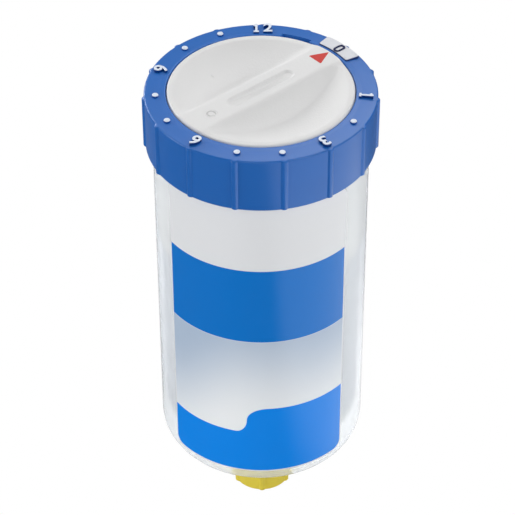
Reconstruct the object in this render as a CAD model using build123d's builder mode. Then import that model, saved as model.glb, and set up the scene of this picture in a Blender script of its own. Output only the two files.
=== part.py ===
from build123d import *
from math import cos, radians, sin, sqrt, tan
import os

# Single-point automatic lubricator: a clear container with an outlet neck, a piston on the
# oil charge, and a gas drive unit under a ribbed grip ring whose selector dial sets the
# discharge time. Millimetres, +Z up. The origin is on the axis at the container's underside,
# where the outlet neck begins. -Y is the front, which carries the label. Bearings are in
# degrees, clockwise from the back (+Y) as seen from above.

# ---------------------------------------------------------------- driving dimensions
unit_height = 103.0          # container underside to the top of the grip ring

body_r = 25.0                # container, outside
body_wall = 1.2
body_corner_r = 6.3          # outside bottom corner
body_inner_corner_r = 10.0   # inside bottom corner
floor_thickness = 2.4        # at the outlet bore
floor_fall = 1.3             # slope of the inside floor towards the bore
spigot_step = 0.4            # the stretch inside the grip ring is this much smaller in radius

neck_r = 6.58                # major radius of a quarter-inch pipe thread
neck_length = 15.0
neck_chamfer = 0.8
outlet_bore_r = 3.0

ring_height = 13.83
ring_wall = 1.4              # ring beyond the body
ring_fit = 0.15              # radial gap of the skirt over the spigot
ring_top_thickness = 2.7
ring_edge_r = 0.5
rib_count = 15
rib_r = 0.95
rib_height = 0.72
rib_bevel = 0.6
first_mark_bearing = 0.9
mark_inset = 2.4             # dots, from the edge of the ring
dot_r = 0.75
dot_height = 0.35
dot_positions = (5, 7, 8, 10, 11, 13, 14)
snap_height = 5.4            # snap bead centre above the lower edge of the skirt
snap_width = 1.0
snap_bite = 0.2
snap_gap = 0.15

notch_bearings = (13.0, 31.0)
notch_depth = 1.2
notch_width = 1.5
flag_bearings = (36.9, 60.9)
flag_inset = 0.3
flag_width = 3.0
flag_thickness = 0.8
flag_proud = 0.3

ring_rim = 5.0               # breadth of the ring's top, with the gap to the dial
dial_gap = 0.22
dial_drop = 0.5              # dial rim below the top of the ring
dial_depth = 6.0             # rim to underside
dial_edge = 0.35
dial_rim = 1.4
dish_depth = 4.3
grip_rise = 0.8              # crest of the grip bar above the top of the ring
grip_half_width = 4.0        # at mid length, at the crest
grip_end_half_width = 3.0
grip_draft = 22.0
grip_edge_r = 1.7
slot_length = 18.6
slot_width = 2.4
slot_depth = 2.6
slot_edge_r = 0.5
gate_mark_r = 1.15
gate_mark_inset = 6.3        # from the edge of the dial
gate_mark_width = 0.4
gate_mark_depth = 0.45       # above the dial rim
arrow_inset = 0.7
arrow_length = 3.4
arrow_half_width = 2.0
arrow_thickness = 0.6
dial_steps = (0, *range(2, 14))  # 0 to 12 months, in steps of the rib spacing from 0
stop_block_angle = 27.0
stop_play = 0.5
stop_insets = (5.8, 2.6)     # from the edge of the dish
stop_height = 2.2
stop_lug_skin = 0.2
core_insets = (7.5, 0.1)     # from the edge of the dish
core_wall = 1.6
core_pocket = (11.5, 5.0)    # length and width of each pocket under the grip bar
core_pocket_inset = 9.9      # middle of each pocket, from the edge of the dial
core_pocket_roof = 1.3       # between the pocket and the slot floor

stem_r = 4.0
stem_fit = 0.05
stem_tail_r = 3.6
stem_flat = 2.7
deck_thickness = 1.5
bearing_radii = (6.5, 9.0)
bearing_rise = 0.45
dial_float = 0.05
clip_thickness = 0.8
clip_groove_r = 3.0
clip_outer_r = 5.6
clip_gap_angle = 70.0
clip_float = 0.1
stem_seal_r = 0.4            # cord radius
wiper_thickness = 0.25
wiper_hub_r = 6.2
wiper_long_reach = 11.6
wiper_short_reach = 8.0
wiper_width = 1.8
wiper_drop = 0.6             # hub underside above the circuit board

housing_gap = 0.3            # barrel inside the container
housing_wall = 2.2
flange_height = 2.8
housing_seal_r = 0.74        # cord radius
housing_seal_drop = 2.0      # below the top of the cell carrier
board_thickness = 1.6
board_gap = 0.1
board_seat_width = 0.9
board_headroom = 2.9         # board top to the underside of the deck
board_hole_r = 4.5
track_thickness = 0.1
pad_radii = (10.2, 12.6)
pad_angle = 12.0
common_track_radii = (6.8, 8.6)
chip_size = (3.2, 1.6, 0.6)
chip_inset = 3.0             # from the edge of the board
screw_inset = 4.8            # from the barrel's wall
screw_bearings = (72.9, 252.9)
screw_head_r = 1.9
screw_head_height = 1.3
screw_shank_r = 0.95
screw_hole_r = 1.15
screw_pilot_r = 1.0
screw_recess = (2.4, 0.6, 0.7)   # length, width and depth of the cross
boss_r = 2.4
boss_skin = 0.4              # left over the end of the pilot hole

carrier_thickness = 8.0
carrier_gap = 0.2
carrier_drop = 2.0           # carrier top below the board
carrier_standoff = 2.0       # carrier above the cover
cell_r = 5.8
cell_height = 5.4
cell_step = 0.7
cell_gap = 0.15
cell_web = 1.68              # between two pockets
pocket_floor = 1.2
strip_thickness = 0.3
strip_width = 4.0
strip_length = 9.6
strip_gap = 0.2
spring_thickness = 0.3
spring_width = 3.0
spring_foot = (3.4, 1.0)     # from the middle of a cell, outwards
spring_tip = (2.0, 4.0)      # from the middle of a cell, inwards
port_r = 1.2
port_seal_r = 0.5            # cord radius
port_seal_place = 3.0
port_boss_r = 4.4
cover_thickness = 1.5
cover_lip_wall = 1.3

piston_top_gap = 0.5         # piston below the drive cover when full
piston_height = 13.5
piston_gap = 0.25
piston_wall = 1.6
piston_seal_r = 0.65         # cord radius
piston_seal_gap = 0.05
piston_seal_heights = (3.6, 9.9)
piston_rib_count = 6
piston_rib_thickness = 1.2
piston_boss_r = 4.5

charge_wall_gap = 0.05
charge_piston_gap = 0.2

label_thickness = 0.08
label_gap = 0.01
label_bearings = (129.9, 235.3)
label_bottom = 6.4
label_top_gap = 1.0          # below the lower edge of the ring

cap_wall = 0.65
cap_rib_height = 0.45
cap_rib_r = 0.9
cap_rib_count = 6
cap_fit = 0.07
cap_root_gap = 0.8
cap_floor = 2.65
cap_edge = 0.4
cap_seal_thickness = 1.0
cap_seal_gap = 0.05

# ---------------------------------------------------------------- derived places
step = 360.0 / rib_count
bore_r = body_r - body_wall
ring_r = body_r + ring_wall
ring_bottom = unit_height - ring_height
spigot_r = body_r - spigot_step
spigot_bottom = ring_bottom - ring_fit
skirt_r = spigot_r + ring_fit
snap_z = ring_bottom + snap_height
ring_underside = unit_height - ring_top_thickness
container_top = ring_underside - flange_height
dial_r = ring_r - ring_rim
ring_bore_r = dial_r + dial_gap
mark_circle_r = ring_r - mark_inset
notch_outer_r = dial_r + notch_width
flag_radii = (ring_r - flag_inset - flag_width, ring_r - flag_inset)

dish_r = dial_r - dial_rim
dish_ball_r = (dish_r**2 + dish_depth**2) / (2 * dish_depth)
arrow_tip_r = dial_r - arrow_inset
arrow_base_r = arrow_tip_r - arrow_length
stop_radii = [dish_r - inset for inset in stop_insets]
core_radii = [dish_r - inset for inset in core_insets]
dial_top = unit_height - dial_drop
dial_underside = dial_top - dial_depth
crest_z = unit_height + grip_rise
dial_bearing = first_mark_bearing + 2 * step
deck_top = dial_underside - dial_float - bearing_rise
deck_underside = deck_top - deck_thickness
board_top = deck_underside - board_headroom
board_bottom = board_top - board_thickness
housing_r = bore_r - housing_gap
barrel_r = housing_r - housing_wall
board_r = barrel_r - board_gap
chip_place_r = board_r - chip_inset
screw_place_r = barrel_r - screw_inset
cell_place_r = (cell_r + cell_gap + cell_web / 2) / cos(radians(45))
strip_place_r = cell_place_r * cos(radians(45))
wiper_z = board_top + wiper_drop + track_thickness
carrier_top = board_bottom - carrier_drop
carrier_bottom = carrier_top - carrier_thickness
housing_seal_z = carrier_top - housing_seal_drop
cell_floor = carrier_bottom + pocket_floor + strip_thickness
cell_top = cell_floor + cell_height
housing_bottom = carrier_bottom - carrier_standoff
cover_bottom = housing_bottom - cover_thickness

piston_r = bore_r - piston_gap
piston_top = cover_bottom - piston_top_gap
piston_shoulder_z = piston_top - piston_height
cavity_shoulder_z = floor_thickness + floor_fall + body_inner_corner_r
cap_r = neck_r + cap_fit + cap_wall
cap_rib_place_r = cap_r + cap_rib_height
cap_top = -cap_root_gap
seal_top = -neck_length - cap_seal_gap
cap_bottom = seal_top - cap_seal_thickness - cap_floor

clip_z = deck_underside - clip_float - clip_thickness
stem_seal_z = deck_top - deck_thickness / 2
stem_tail_top = wiper_z + wiper_thickness
stem_end = board_top + dial_float
wiper_tip_z = board_top + track_thickness + dial_float
screw_end = deck_top - boss_skin - strip_gap

dial_turn = dial_steps[-1] * step
stop_lug_angle = 360.0 - dial_turn - stop_block_angle - 2 * stop_play
stop_lug_end = dial_bearing + 90 + stop_lug_angle / 2
stop_lug_bearings = (stop_lug_end - stop_lug_angle, stop_lug_end)
stop_block_end = stop_lug_bearings[0] - stop_play
stop_block_bearings = (stop_block_end - stop_block_angle, stop_block_end)


def polar(radius, bearing):
    """Return the point at a radius and a bearing, clockwise from +Y."""
    return (radius * sin(radians(bearing)), radius * cos(radians(bearing)))


def level(z, bearing=90.0):
    """Return a horizontal plane at height z whose x axis points along a bearing."""
    return Plane(origin=(0, 0, z), x_dir=(*polar(1, bearing), 0), z_dir=(0, 0, 1))


def upright(bearing=90.0):
    """Return the vertical plane through the axis whose x axis points along a bearing."""
    x, y = polar(1, bearing)
    return Plane(origin=(0, 0, 0), x_dir=(x, y, 0), z_dir=(y, -x, 0))


def ring_sector(inner_r, outer_r, bearings):
    """Add a sector of a ring, from the first bearing to the second, to the open sketch."""
    start, size = 90 - bearings[1], bearings[1] - bearings[0]
    with BuildLine() as outline:
        outer = CenterArc((0, 0), outer_r, start, size)
        inner = CenterArc((0, 0), inner_r, start, size)
        Line(outer @ 0, inner @ 0)
        Line(outer @ 1, inner @ 1)
    make_face(outline.edges())


def ring_cord(centre_r, cord_r, z):
    """Add a ring of round section, such as an O-ring, to the open part."""
    with BuildSketch(Plane.XZ) as section:
        with Locations((centre_r, z)):
            Circle(cord_r)
    revolve(section.sketch, axis=Axis.Z)


def groove(inner_r, outer_r, z_low, z_high):
    """Cut a square groove round the axis from the open part."""
    with BuildSketch(Plane.XZ) as section:
        with Locations(((inner_r + outer_r) / 2, (z_low + z_high) / 2)):
            Rectangle(outer_r - inner_r, z_high - z_low)
    revolve(section.sketch, axis=Axis.Z, mode=Mode.SUBTRACT)


def bowl_profile(wall_r, shoulder_z, corner_r, fall):
    """Draw a bowl's bottom line in the open line: wall, round corner, then a shallow cone."""
    corner = CenterArc((wall_r - corner_r, shoulder_z), corner_r, 270, 90)
    cone = Line(corner @ 0, (outlet_bore_r, shoulder_z - corner_r - fall))
    return corner @ 1, cone @ 1


def dish_z(radius):
    """Return the height of the dial's dished top at a radius."""
    return dial_top - dish_depth + dish_ball_r - sqrt(dish_ball_r**2 - radius**2)


def keep(builder, label):
    """Label a finished piece and write it out."""
    builder.part.label = label
    export_step(builder.part, f"parts/{label}.step")


def button_cell(place):
    """Add a flat round cell with a stepped top to the open part."""
    with BuildSketch(level(cell_floor)) as can:
        with Locations(place):
            Circle(cell_r)
    extrude(can.sketch, amount=cell_height - cell_step)
    with BuildSketch(level(cell_floor)) as top:
        with Locations(place):
            Circle(cell_r - cell_step)
    extrude(top.sketch, amount=cell_height)


screw_places = [polar(screw_place_r, bearing) for bearing in screw_bearings]
gas_cell_bearings = (screw_bearings[0] + 45, screw_bearings[1] - 45)
button_cell_bearings = (screw_bearings[0] - 45, screw_bearings[1] + 45)
cell_bearings = gas_cell_bearings + button_cell_bearings
gas_cell_places = [polar(cell_place_r, bearing) for bearing in gas_cell_bearings]
button_cell_places = [polar(cell_place_r, bearing) for bearing in button_cell_bearings]


# ---------------------------------------------------------------- container and outlet
with BuildPart() as container:
    with BuildSketch(Plane.XZ):
        with BuildLine():
            corner = CenterArc((body_r - body_corner_r, body_corner_r), body_corner_r, 270, 90)
            wall_foot, bore_head = bowl_profile(
                bore_r, cavity_shoulder_z, body_inner_corner_r, floor_fall
            )
            Polyline(
                corner @ 1,
                (body_r, spigot_bottom),
                (spigot_r, spigot_bottom),
                (spigot_r, container_top),
                (bore_r, container_top),
                wall_foot,
            )
            Polyline(
                bore_head,
                (outlet_bore_r, -neck_length),
                (neck_r - neck_chamfer, -neck_length),
                (neck_r, -neck_length + neck_chamfer),
                (neck_r, 0),
                corner @ 0,
            )
        make_face()
    revolve(axis=Axis.Z)
    groove(
        spigot_r - snap_bite - snap_gap,
        body_r,
        snap_z - snap_width / 2 - snap_gap,
        snap_z + snap_width / 2 + snap_gap,
    )
keep(container, "container")

with BuildPart() as outlet_cap:
    with BuildSketch(level(cap_bottom)):
        Circle(cap_r)
    extrude(amount=cap_top - cap_bottom)
    chamfer(outlet_cap.edges().group_by(Axis.Z)[0], cap_edge)
    with BuildSketch(level(cap_bottom)):
        with PolarLocations(cap_rib_place_r - cap_rib_r, cap_rib_count, -90):
            Circle(cap_rib_r)
    extrude(amount=cap_top - cap_bottom)
    with BuildSketch(level(cap_bottom + cap_floor)):
        Circle(neck_r + cap_fit)
    extrude(amount=cap_top - cap_bottom, mode=Mode.SUBTRACT)
keep(outlet_cap, "outlet_cap")

with BuildPart() as cap_seal:
    with BuildSketch(level(cap_bottom + cap_floor)):
        Circle(neck_r)
    extrude(amount=cap_seal_thickness)
keep(cap_seal, "cap_seal")

with BuildPart() as label:
    with BuildSketch(level(label_bottom)):
        ring_sector(body_r + label_gap, body_r + label_gap + label_thickness, label_bearings)
    extrude(amount=ring_bottom - label_top_gap - label_bottom)
keep(label, "label")

# ---------------------------------------------------------------- piston and charge
with BuildPart() as piston_hollow:
    hollow_r = piston_r - 2 * piston_wall
    hollow_corner_r = body_inner_corner_r - 2 * piston_wall
    with BuildSketch(Plane.XZ):
        with BuildLine():
            foot, core = bowl_profile(hollow_r, piston_shoulder_z, hollow_corner_r, floor_fall)
            Polyline(foot, (hollow_r, piston_top), (0, piston_top), (0, core.Y), core)
        make_face()
    revolve(axis=Axis.Z)

with BuildPart() as piston_ribs:
    with BuildSketch(level(piston_shoulder_z - hollow_corner_r - floor_fall)):
        with PolarLocations(hollow_r / 2, piston_rib_count):
            Rectangle(hollow_r, piston_rib_thickness)
        Circle(piston_boss_r)
        Circle(piston_boss_r - piston_wall, mode=Mode.SUBTRACT)
    extrude(amount=hollow_corner_r)
    add(piston_hollow.part, mode=Mode.INTERSECT)

with BuildPart() as piston:
    with BuildSketch(Plane.XZ):
        with BuildLine():
            shoulder, nose = bowl_profile(
                piston_r, piston_shoulder_z, body_inner_corner_r - piston_gap, floor_fall
            )
            Polyline(shoulder, (piston_r, piston_top), (0, piston_top), (0, nose.Y), nose)
        make_face()
    revolve(axis=Axis.Z)
    add(piston_hollow.part, mode=Mode.SUBTRACT)
    add(piston_ribs.part)
    for height in piston_seal_heights:
        groove(
            bore_r - piston_seal_gap - 2 * piston_seal_r,
            bore_r,
            piston_shoulder_z + height - piston_seal_r - piston_seal_gap,
            piston_shoulder_z + height + piston_seal_r + piston_seal_gap,
        )
keep(piston, "piston")

with BuildPart() as piston_seals:
    for height in piston_seal_heights:
        ring_cord(bore_r - piston_seal_gap - piston_seal_r, piston_seal_r, piston_shoulder_z + height)
keep(piston_seals, "piston_seals")

with BuildPart() as oil_charge:
    charge_r = bore_r - charge_wall_gap
    with BuildSketch(Plane.XZ):
        with BuildLine():
            foot, outlet = bowl_profile(
                charge_r,
                cavity_shoulder_z,
                body_inner_corner_r - charge_wall_gap,
                floor_fall,
            )
            top_z = piston_shoulder_z - charge_piston_gap
            crown = CenterArc((piston_r - body_inner_corner_r, top_z), body_inner_corner_r, 270, 90)
            dish = Line(crown @ 0, (outlet_bore_r, top_z - body_inner_corner_r - floor_fall))
            Polyline(foot, (charge_r, top_z), crown @ 1)
            Polyline(
                dish @ 1,
                (0, (dish @ 1).Y),
                (0, seal_top + charge_piston_gap),
                (outlet_bore_r - charge_wall_gap, seal_top + charge_piston_gap),
                (outlet_bore_r - charge_wall_gap, outlet.Y),
                outlet,
            )
        make_face()
    revolve(axis=Axis.Z)
keep(oil_charge, "oil_charge")

# ---------------------------------------------------------------- grip ring
with BuildPart() as grip_ribs:
    with BuildSketch(level(ring_bottom)):
        with PolarLocations(ring_r + rib_height - rib_r, rib_count, 90 - first_mark_bearing):
            Circle(rib_r)
    extrude(amount=ring_height)
    # their tops are bevelled to follow the rounded rim of the ring
    with BuildSketch(Plane.XZ):
        with BuildLine():
            Polyline(
                (ring_r - rib_r, ring_bottom),
                (ring_r + rib_height, ring_bottom),
                (ring_r + rib_height, unit_height - rib_bevel),
                (ring_r + rib_height - rib_bevel, unit_height),
                (ring_r - rib_r, unit_height),
                close=True,
            )
        make_face()
    revolve(axis=Axis.Z, mode=Mode.INTERSECT)

with BuildPart() as grip_ring:
    with BuildSketch(Plane.XZ):
        with BuildLine():
            Polyline(
                (skirt_r, ring_bottom),
                (ring_r, ring_bottom),
                (ring_r, unit_height),
                (ring_bore_r, unit_height),
                (ring_bore_r, ring_underside),
                (skirt_r, ring_underside),
                (skirt_r, ring_bottom),
            )
        make_face()
        with Locations((skirt_r, snap_z)):
            Trapezoid(snap_width, skirt_r - spigot_r + snap_bite, 60, rotation=90,
                      align=(Align.CENTER, Align.MIN))
    revolve(axis=Axis.Z)
    top_rims = grip_ring.edges().group_by(Axis.Z)[-1]
    fillet(top_rims.sort_by(SortBy.RADIUS)[-1], ring_edge_r)
    add(grip_ribs.part)
    with BuildSketch(level(unit_height - notch_depth)):
        ring_sector(dial_r, notch_outer_r, notch_bearings)
    extrude(amount=notch_depth, mode=Mode.SUBTRACT)
    with BuildSketch(level(unit_height - flag_thickness + flag_proud)):
        ring_sector(*flag_radii, flag_bearings)
    extrude(amount=flag_thickness, mode=Mode.SUBTRACT)
    dot_ball_r = (dot_r**2 + dot_height**2) / (2 * dot_height)
    for position in dot_positions:
        with Locations((*polar(mark_circle_r, first_mark_bearing + position * step),
                        unit_height + dot_height - dot_ball_r)):
            Sphere(dot_ball_r, mode=Mode.ADD)
keep(grip_ring, "grip_ring")

with BuildPart() as zero_flag:
    with BuildSketch(level(unit_height - flag_thickness + flag_proud)):
        ring_sector(*flag_radii, flag_bearings)
    extrude(amount=flag_thickness)
keep(zero_flag, "zero_flag")

# ---------------------------------------------------------------- selector dial
with BuildPart() as grip_bar:
    # drafted lens-shaped bar, crowned along its length and rounded along its edges
    bar_foot = dial_top - dish_depth
    bar_height = crest_z - bar_foot
    spread = bar_height * tan(radians(grip_draft))
    mid, end = grip_half_width + spread, grip_end_half_width + spread
    with BuildSketch(level(bar_foot, dial_bearing)):
        with BuildLine():
            ThreePointArc((-dial_r, -end), (0, -mid), (dial_r, -end))
            Line((dial_r, -end), (dial_r, end))
            ThreePointArc((dial_r, end), (0, mid), (-dial_r, end))
            Line((-dial_r, end), (-dial_r, -end))
        make_face()
    extrude(amount=bar_height, taper=grip_draft)
    with BuildSketch(upright(dial_bearing)):
        with BuildLine():
            crown = ThreePointArc((-dial_r, dial_top), (0, crest_z), (dial_r, dial_top))
            Polyline(crown @ 1, (dial_r, bar_foot), (-dial_r, bar_foot), crown @ 0)
        make_face()
    extrude(amount=dial_r, both=True, mode=Mode.INTERSECT)
    crest = grip_bar.faces().sort_by(Axis.Z)[-1]
    fillet(crest.edges().filter_by(lambda e: e.length > dial_r), grip_edge_r)

with BuildPart() as dial_blank:
    with BuildSketch(level(dial_underside)):
        Circle(dial_r)
    extrude(amount=dial_depth)
    with Locations((0, 0, dial_top - dish_depth + dish_ball_r)):
        Sphere(dish_ball_r, mode=Mode.SUBTRACT)
    chamfer(dial_blank.edges().group_by(Axis.Z)[-1].sort_by(SortBy.RADIUS)[-1], dial_edge)
    add(grip_bar.part)
    with BuildSketch(level(dial_underside)):
        Circle(2 * dial_r)
        Circle(dial_r - dial_edge / 2, mode=Mode.SUBTRACT)
    extrude(amount=2 * dial_depth, mode=Mode.SUBTRACT)
    # coin slot and the gate mark on the grip bar
    with BuildSketch(level(crest_z, dial_bearing)):
        SlotOverall(slot_length, slot_width)
    extrude(amount=-slot_depth, mode=Mode.SUBTRACT)
    slot_rim = dial_blank.edges(Select.LAST).filter_by(
        lambda e: (e @ 0).Z > crest_z - slot_edge_r and (e @ 1).Z > crest_z - slot_edge_r
    )
    fillet(slot_rim, slot_edge_r)
    with BuildSketch(level(dial_top + gate_mark_depth, dial_bearing)):
        with Locations((gate_mark_inset - dial_r, 0)):
            Circle(gate_mark_r)
            Circle(gate_mark_r - gate_mark_width, mode=Mode.SUBTRACT)
    extrude(amount=grip_rise + dial_drop, mode=Mode.SUBTRACT)
    # hollows underneath, which keep the moulded walls even
    with BuildSketch(Plane.XZ):
        with BuildLine():
            inner_r, outer_r = core_radii
            Polyline(
                (inner_r, dial_underside),
                (inner_r, dish_z(inner_r) - core_wall),
                (outer_r, dish_z(outer_r) - core_wall),
                (outer_r, dial_underside),
                close=True,
            )
        make_face()
    revolve(axis=Axis.Z, mode=Mode.SUBTRACT)
    with BuildSketch(level(dial_underside, dial_bearing)):
        with GridLocations(2 * (dial_r - core_pocket_inset), 0, 2, 1):
            SlotOverall(*core_pocket)
    extrude(amount=crest_z - slot_depth - core_pocket_roof - dial_underside, mode=Mode.SUBTRACT)
    # stop lug, which meets the stop block of the housing at both ends of the turn
    with BuildSketch(level(dial_underside)):
        ring_sector(*stop_radii, stop_lug_bearings)
    extrude(amount=dish_z(stop_radii[0]) - stop_lug_skin - dial_underside)
    # stem: bearing, seal groove, clip groove and a flatted tail that drives the wiper
    with BuildSketch(level(dial_underside)):
        Circle(stem_r)
    extrude(amount=stem_tail_top - dial_underside)
    with BuildSketch(level(stem_tail_top)):
        Circle(stem_tail_r)
        Rectangle(2 * stem_flat, 2 * stem_r, mode=Mode.INTERSECT)
    extrude(amount=stem_end - stem_tail_top)
    groove(clip_groove_r, stem_r, clip_z, clip_z + clip_thickness + clip_float)
    groove(
        stem_r - 2 * stem_seal_r,
        stem_r,
        stem_seal_z - stem_seal_r - stem_fit,
        stem_seal_z + stem_seal_r + stem_fit,
    )

with BuildPart() as dial_arrow:
    with BuildSketch(level(dial_top - arrow_thickness, dial_bearing)):
        with BuildLine():
            Polyline(
                (arrow_tip_r, 0),
                (arrow_base_r, arrow_half_width),
                (arrow_base_r, -arrow_half_width),
                close=True,
            )
        make_face()
    extrude(amount=2 * dial_depth)
    add(dial_blank.part, mode=Mode.INTERSECT)
keep(dial_arrow, "dial_arrow")

with BuildPart() as selector_dial:
    add(dial_blank.part)
    add(dial_arrow.part, mode=Mode.SUBTRACT)
keep(selector_dial, "selector_dial")

with BuildPart() as stem_seal:
    ring_cord(stem_r - stem_seal_r, stem_seal_r, stem_seal_z)
keep(stem_seal, "stem_seal")

with BuildPart() as retaining_clip:
    with BuildSketch(level(clip_z)):
        ring_sector(
            clip_groove_r + stem_fit,
            clip_outer_r,
            (dial_bearing + clip_gap_angle / 2, dial_bearing - clip_gap_angle / 2 + 360),
        )
    extrude(amount=clip_thickness)
keep(retaining_clip, "retaining_clip")

with BuildPart() as wiper:
    # hub on the flatted tail, and two arms that bend down to the contact tracks
    with BuildSketch(level(wiper_z)):
        Circle(wiper_hub_r)
    extrude(amount=wiper_thickness)
    with BuildSketch(level(wiper_z)):
        Circle(stem_tail_r + stem_fit)
        Rectangle(2 * stem_flat, 2 * stem_r, mode=Mode.INTERSECT)
    extrude(amount=wiper_thickness, mode=Mode.SUBTRACT)
    for bearing, reach in (
        (dial_bearing, wiper_long_reach),
        (dial_bearing + 180, wiper_short_reach),
    ):
        root, bend = wiper_hub_r - wiper_width / 2, reach - wiper_width / 2
        with BuildSketch(upright(bearing)):
            with BuildLine():
                Polyline(
                    (root, wiper_z),
                    (bend, wiper_tip_z),
                    (reach, wiper_tip_z),
                    (reach, wiper_tip_z + wiper_thickness),
                    (bend, wiper_tip_z + wiper_thickness),
                    (root, wiper_z + wiper_thickness),
                    close=True,
                )
            make_face()
        extrude(amount=wiper_width / 2, both=True)
keep(wiper, "wiper")

# ---------------------------------------------------------------- drive housing
with BuildPart() as drive_housing:
    with BuildSketch(Plane.XZ):
        with BuildLine():
            Polyline(
                (ring_bore_r, ring_underside),
                (spigot_r, ring_underside),
                (spigot_r, container_top),
                (housing_r, container_top),
                (housing_r, housing_bottom),
                (barrel_r, housing_bottom),
                (barrel_r, board_top),
                (barrel_r - board_seat_width, board_top),
                (barrel_r - board_seat_width, deck_underside),
                (stem_r + stem_fit, deck_underside),
                (stem_r + stem_fit, deck_top),
                (ring_bore_r, deck_top),
                close=True,
            )
        make_face()
    revolve(axis=Axis.Z)
    with BuildSketch(level(deck_top)):
        Circle(bearing_radii[1])
        Circle(bearing_radii[0], mode=Mode.SUBTRACT)
    extrude(amount=bearing_rise)
    with BuildSketch(level(deck_top)):
        ring_sector(*stop_radii, stop_block_bearings)
    extrude(amount=stop_height)
    with BuildSketch(level(deck_underside)):
        with Locations(*screw_places):
            Circle(boss_r)
    extrude(amount=board_top - deck_underside)
    with BuildSketch(level(board_top)):
        with Locations(*screw_places):
            Circle(screw_pilot_r)
    extrude(amount=board_headroom + deck_thickness - boss_skin, mode=Mode.SUBTRACT)
    groove(
        bore_r - piston_seal_gap - 2 * housing_seal_r,
        bore_r,
        housing_seal_z - housing_seal_r - piston_seal_gap,
        housing_seal_z + housing_seal_r + piston_seal_gap,
    )
keep(drive_housing, "drive_housing")

with BuildPart() as housing_seal:
    ring_cord(bore_r - piston_seal_gap - housing_seal_r, housing_seal_r, housing_seal_z)
keep(housing_seal, "housing_seal")

with BuildPart() as circuit_board:
    with BuildSketch(level(board_bottom)):
        Circle(board_r)
        Circle(board_hole_r, mode=Mode.SUBTRACT)
        with Locations(*screw_places):
            Circle(screw_hole_r, mode=Mode.SUBTRACT)
    extrude(amount=board_thickness)
keep(circuit_board, "circuit_board")

with BuildPart() as contact_tracks:
    # one pad for each dial position round a common ring
    for position in dial_steps:
        middle = dial_bearing + position * step
        with BuildSketch(level(board_top)):
            ring_sector(*pad_radii, (middle - pad_angle / 2, middle + pad_angle / 2))
        extrude(amount=track_thickness)
    with BuildSketch(level(board_top)):
        Circle(common_track_radii[1])
        Circle(common_track_radii[0], mode=Mode.SUBTRACT)
    extrude(amount=track_thickness)
keep(contact_tracks, "contact_tracks")

with BuildPart() as timing_resistors:
    for position in dial_steps[1:]:
        with BuildSketch(level(board_top, dial_bearing + position * step)):
            with Locations((chip_place_r, 0)):
                Rectangle(chip_size[0], chip_size[1])
        extrude(amount=chip_size[2])
keep(timing_resistors, "timing_resistors")

# ---------------------------------------------------------------- cells and their carrier
with BuildPart() as cell_carrier:
    with BuildSketch(level(carrier_bottom)):
        Circle(barrel_r - carrier_gap)
    extrude(amount=carrier_thickness)
    with BuildSketch(level(carrier_top)):
        with Locations(*screw_places):
            Circle(boss_r)
    extrude(amount=carrier_drop)
    with BuildSketch(level(carrier_bottom + pocket_floor)):
        with Locations(*gas_cell_places, *button_cell_places):
            Circle(cell_r + cell_gap)
    extrude(amount=carrier_thickness, mode=Mode.SUBTRACT)
    for bearing in screw_bearings:
        with BuildSketch(level(carrier_bottom + pocket_floor, bearing)):
            with Locations((strip_place_r, 0)):
                Rectangle(strip_width + 2 * strip_gap, strip_length)
        extrude(amount=carrier_thickness, mode=Mode.SUBTRACT)
    with BuildSketch(level(carrier_bottom)):
        with Locations(*gas_cell_places):
            Circle(port_r)
        with Locations(*screw_places):
            Circle(screw_hole_r)
    extrude(amount=carrier_thickness + carrier_drop, mode=Mode.SUBTRACT)
    with BuildSketch(level(carrier_bottom)):
        with Locations(*screw_places):
            Circle(screw_head_r + strip_gap)
    extrude(amount=screw_head_height, mode=Mode.SUBTRACT)
keep(cell_carrier, "cell_carrier")

with BuildPart() as contact_strips:
    for bearing in screw_bearings:
        with BuildSketch(level(carrier_bottom + pocket_floor, bearing)):
            with Locations((strip_place_r, 0)):
                Rectangle(strip_width, strip_length - 2 * strip_gap)
        extrude(amount=strip_thickness)
keep(contact_strips, "contact_strips")

with BuildPart() as gas_cells:
    for place in gas_cell_places:
        button_cell(place)
    with BuildSketch(level(cell_floor)):
        with Locations(*gas_cell_places):
            Circle(port_r)
    extrude(amount=cell_step, mode=Mode.SUBTRACT)
keep(gas_cells, "gas_cells")

with BuildPart() as button_cells:
    for place in button_cell_places:
        button_cell(place)
keep(button_cells, "button_cells")

with BuildPart() as contact_springs:
    # leaf springs from the underside of the board to the top of each cell
    for bearing in cell_bearings:
        with BuildSketch(upright(bearing)):
            with BuildLine():
                Polyline(
                    (cell_place_r + spring_foot[0], board_bottom),
                    (cell_place_r + spring_foot[1], board_bottom),
                    (cell_place_r - spring_tip[0], cell_top + spring_thickness),
                    (cell_place_r - spring_tip[1], cell_top + spring_thickness),
                    (cell_place_r - spring_tip[1], cell_top),
                    (cell_place_r - spring_tip[0], cell_top),
                    (cell_place_r + spring_foot[1], board_bottom - spring_thickness),
                    (cell_place_r + spring_foot[0], board_bottom - spring_thickness),
                    close=True,
                )
            make_face()
        extrude(amount=spring_width / 2, both=True)
keep(contact_springs, "contact_springs")

with BuildPart() as port_seals:
    for place in gas_cell_places:
        with Locations((*place, carrier_bottom - port_seal_r)):
            Torus(port_seal_place, port_seal_r)
keep(port_seals, "port_seals")

with BuildPart() as drive_cover:
    with BuildSketch(level(cover_bottom)):
        Circle(housing_r)
    extrude(amount=cover_thickness)
    with BuildSketch(level(housing_bottom)):
        Circle(board_r)
        Circle(board_r - cover_lip_wall, mode=Mode.SUBTRACT)
    extrude(amount=carrier_standoff)
    with BuildSketch(level(housing_bottom)):
        with Locations(*gas_cell_places):
            Circle(port_boss_r)
    extrude(amount=carrier_standoff - 2 * port_seal_r)
    with BuildSketch(level(cover_bottom)):
        with Locations(*gas_cell_places):
            Circle(port_r)
    extrude(amount=cover_thickness + carrier_standoff, mode=Mode.SUBTRACT)
keep(drive_cover, "drive_cover")

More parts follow.
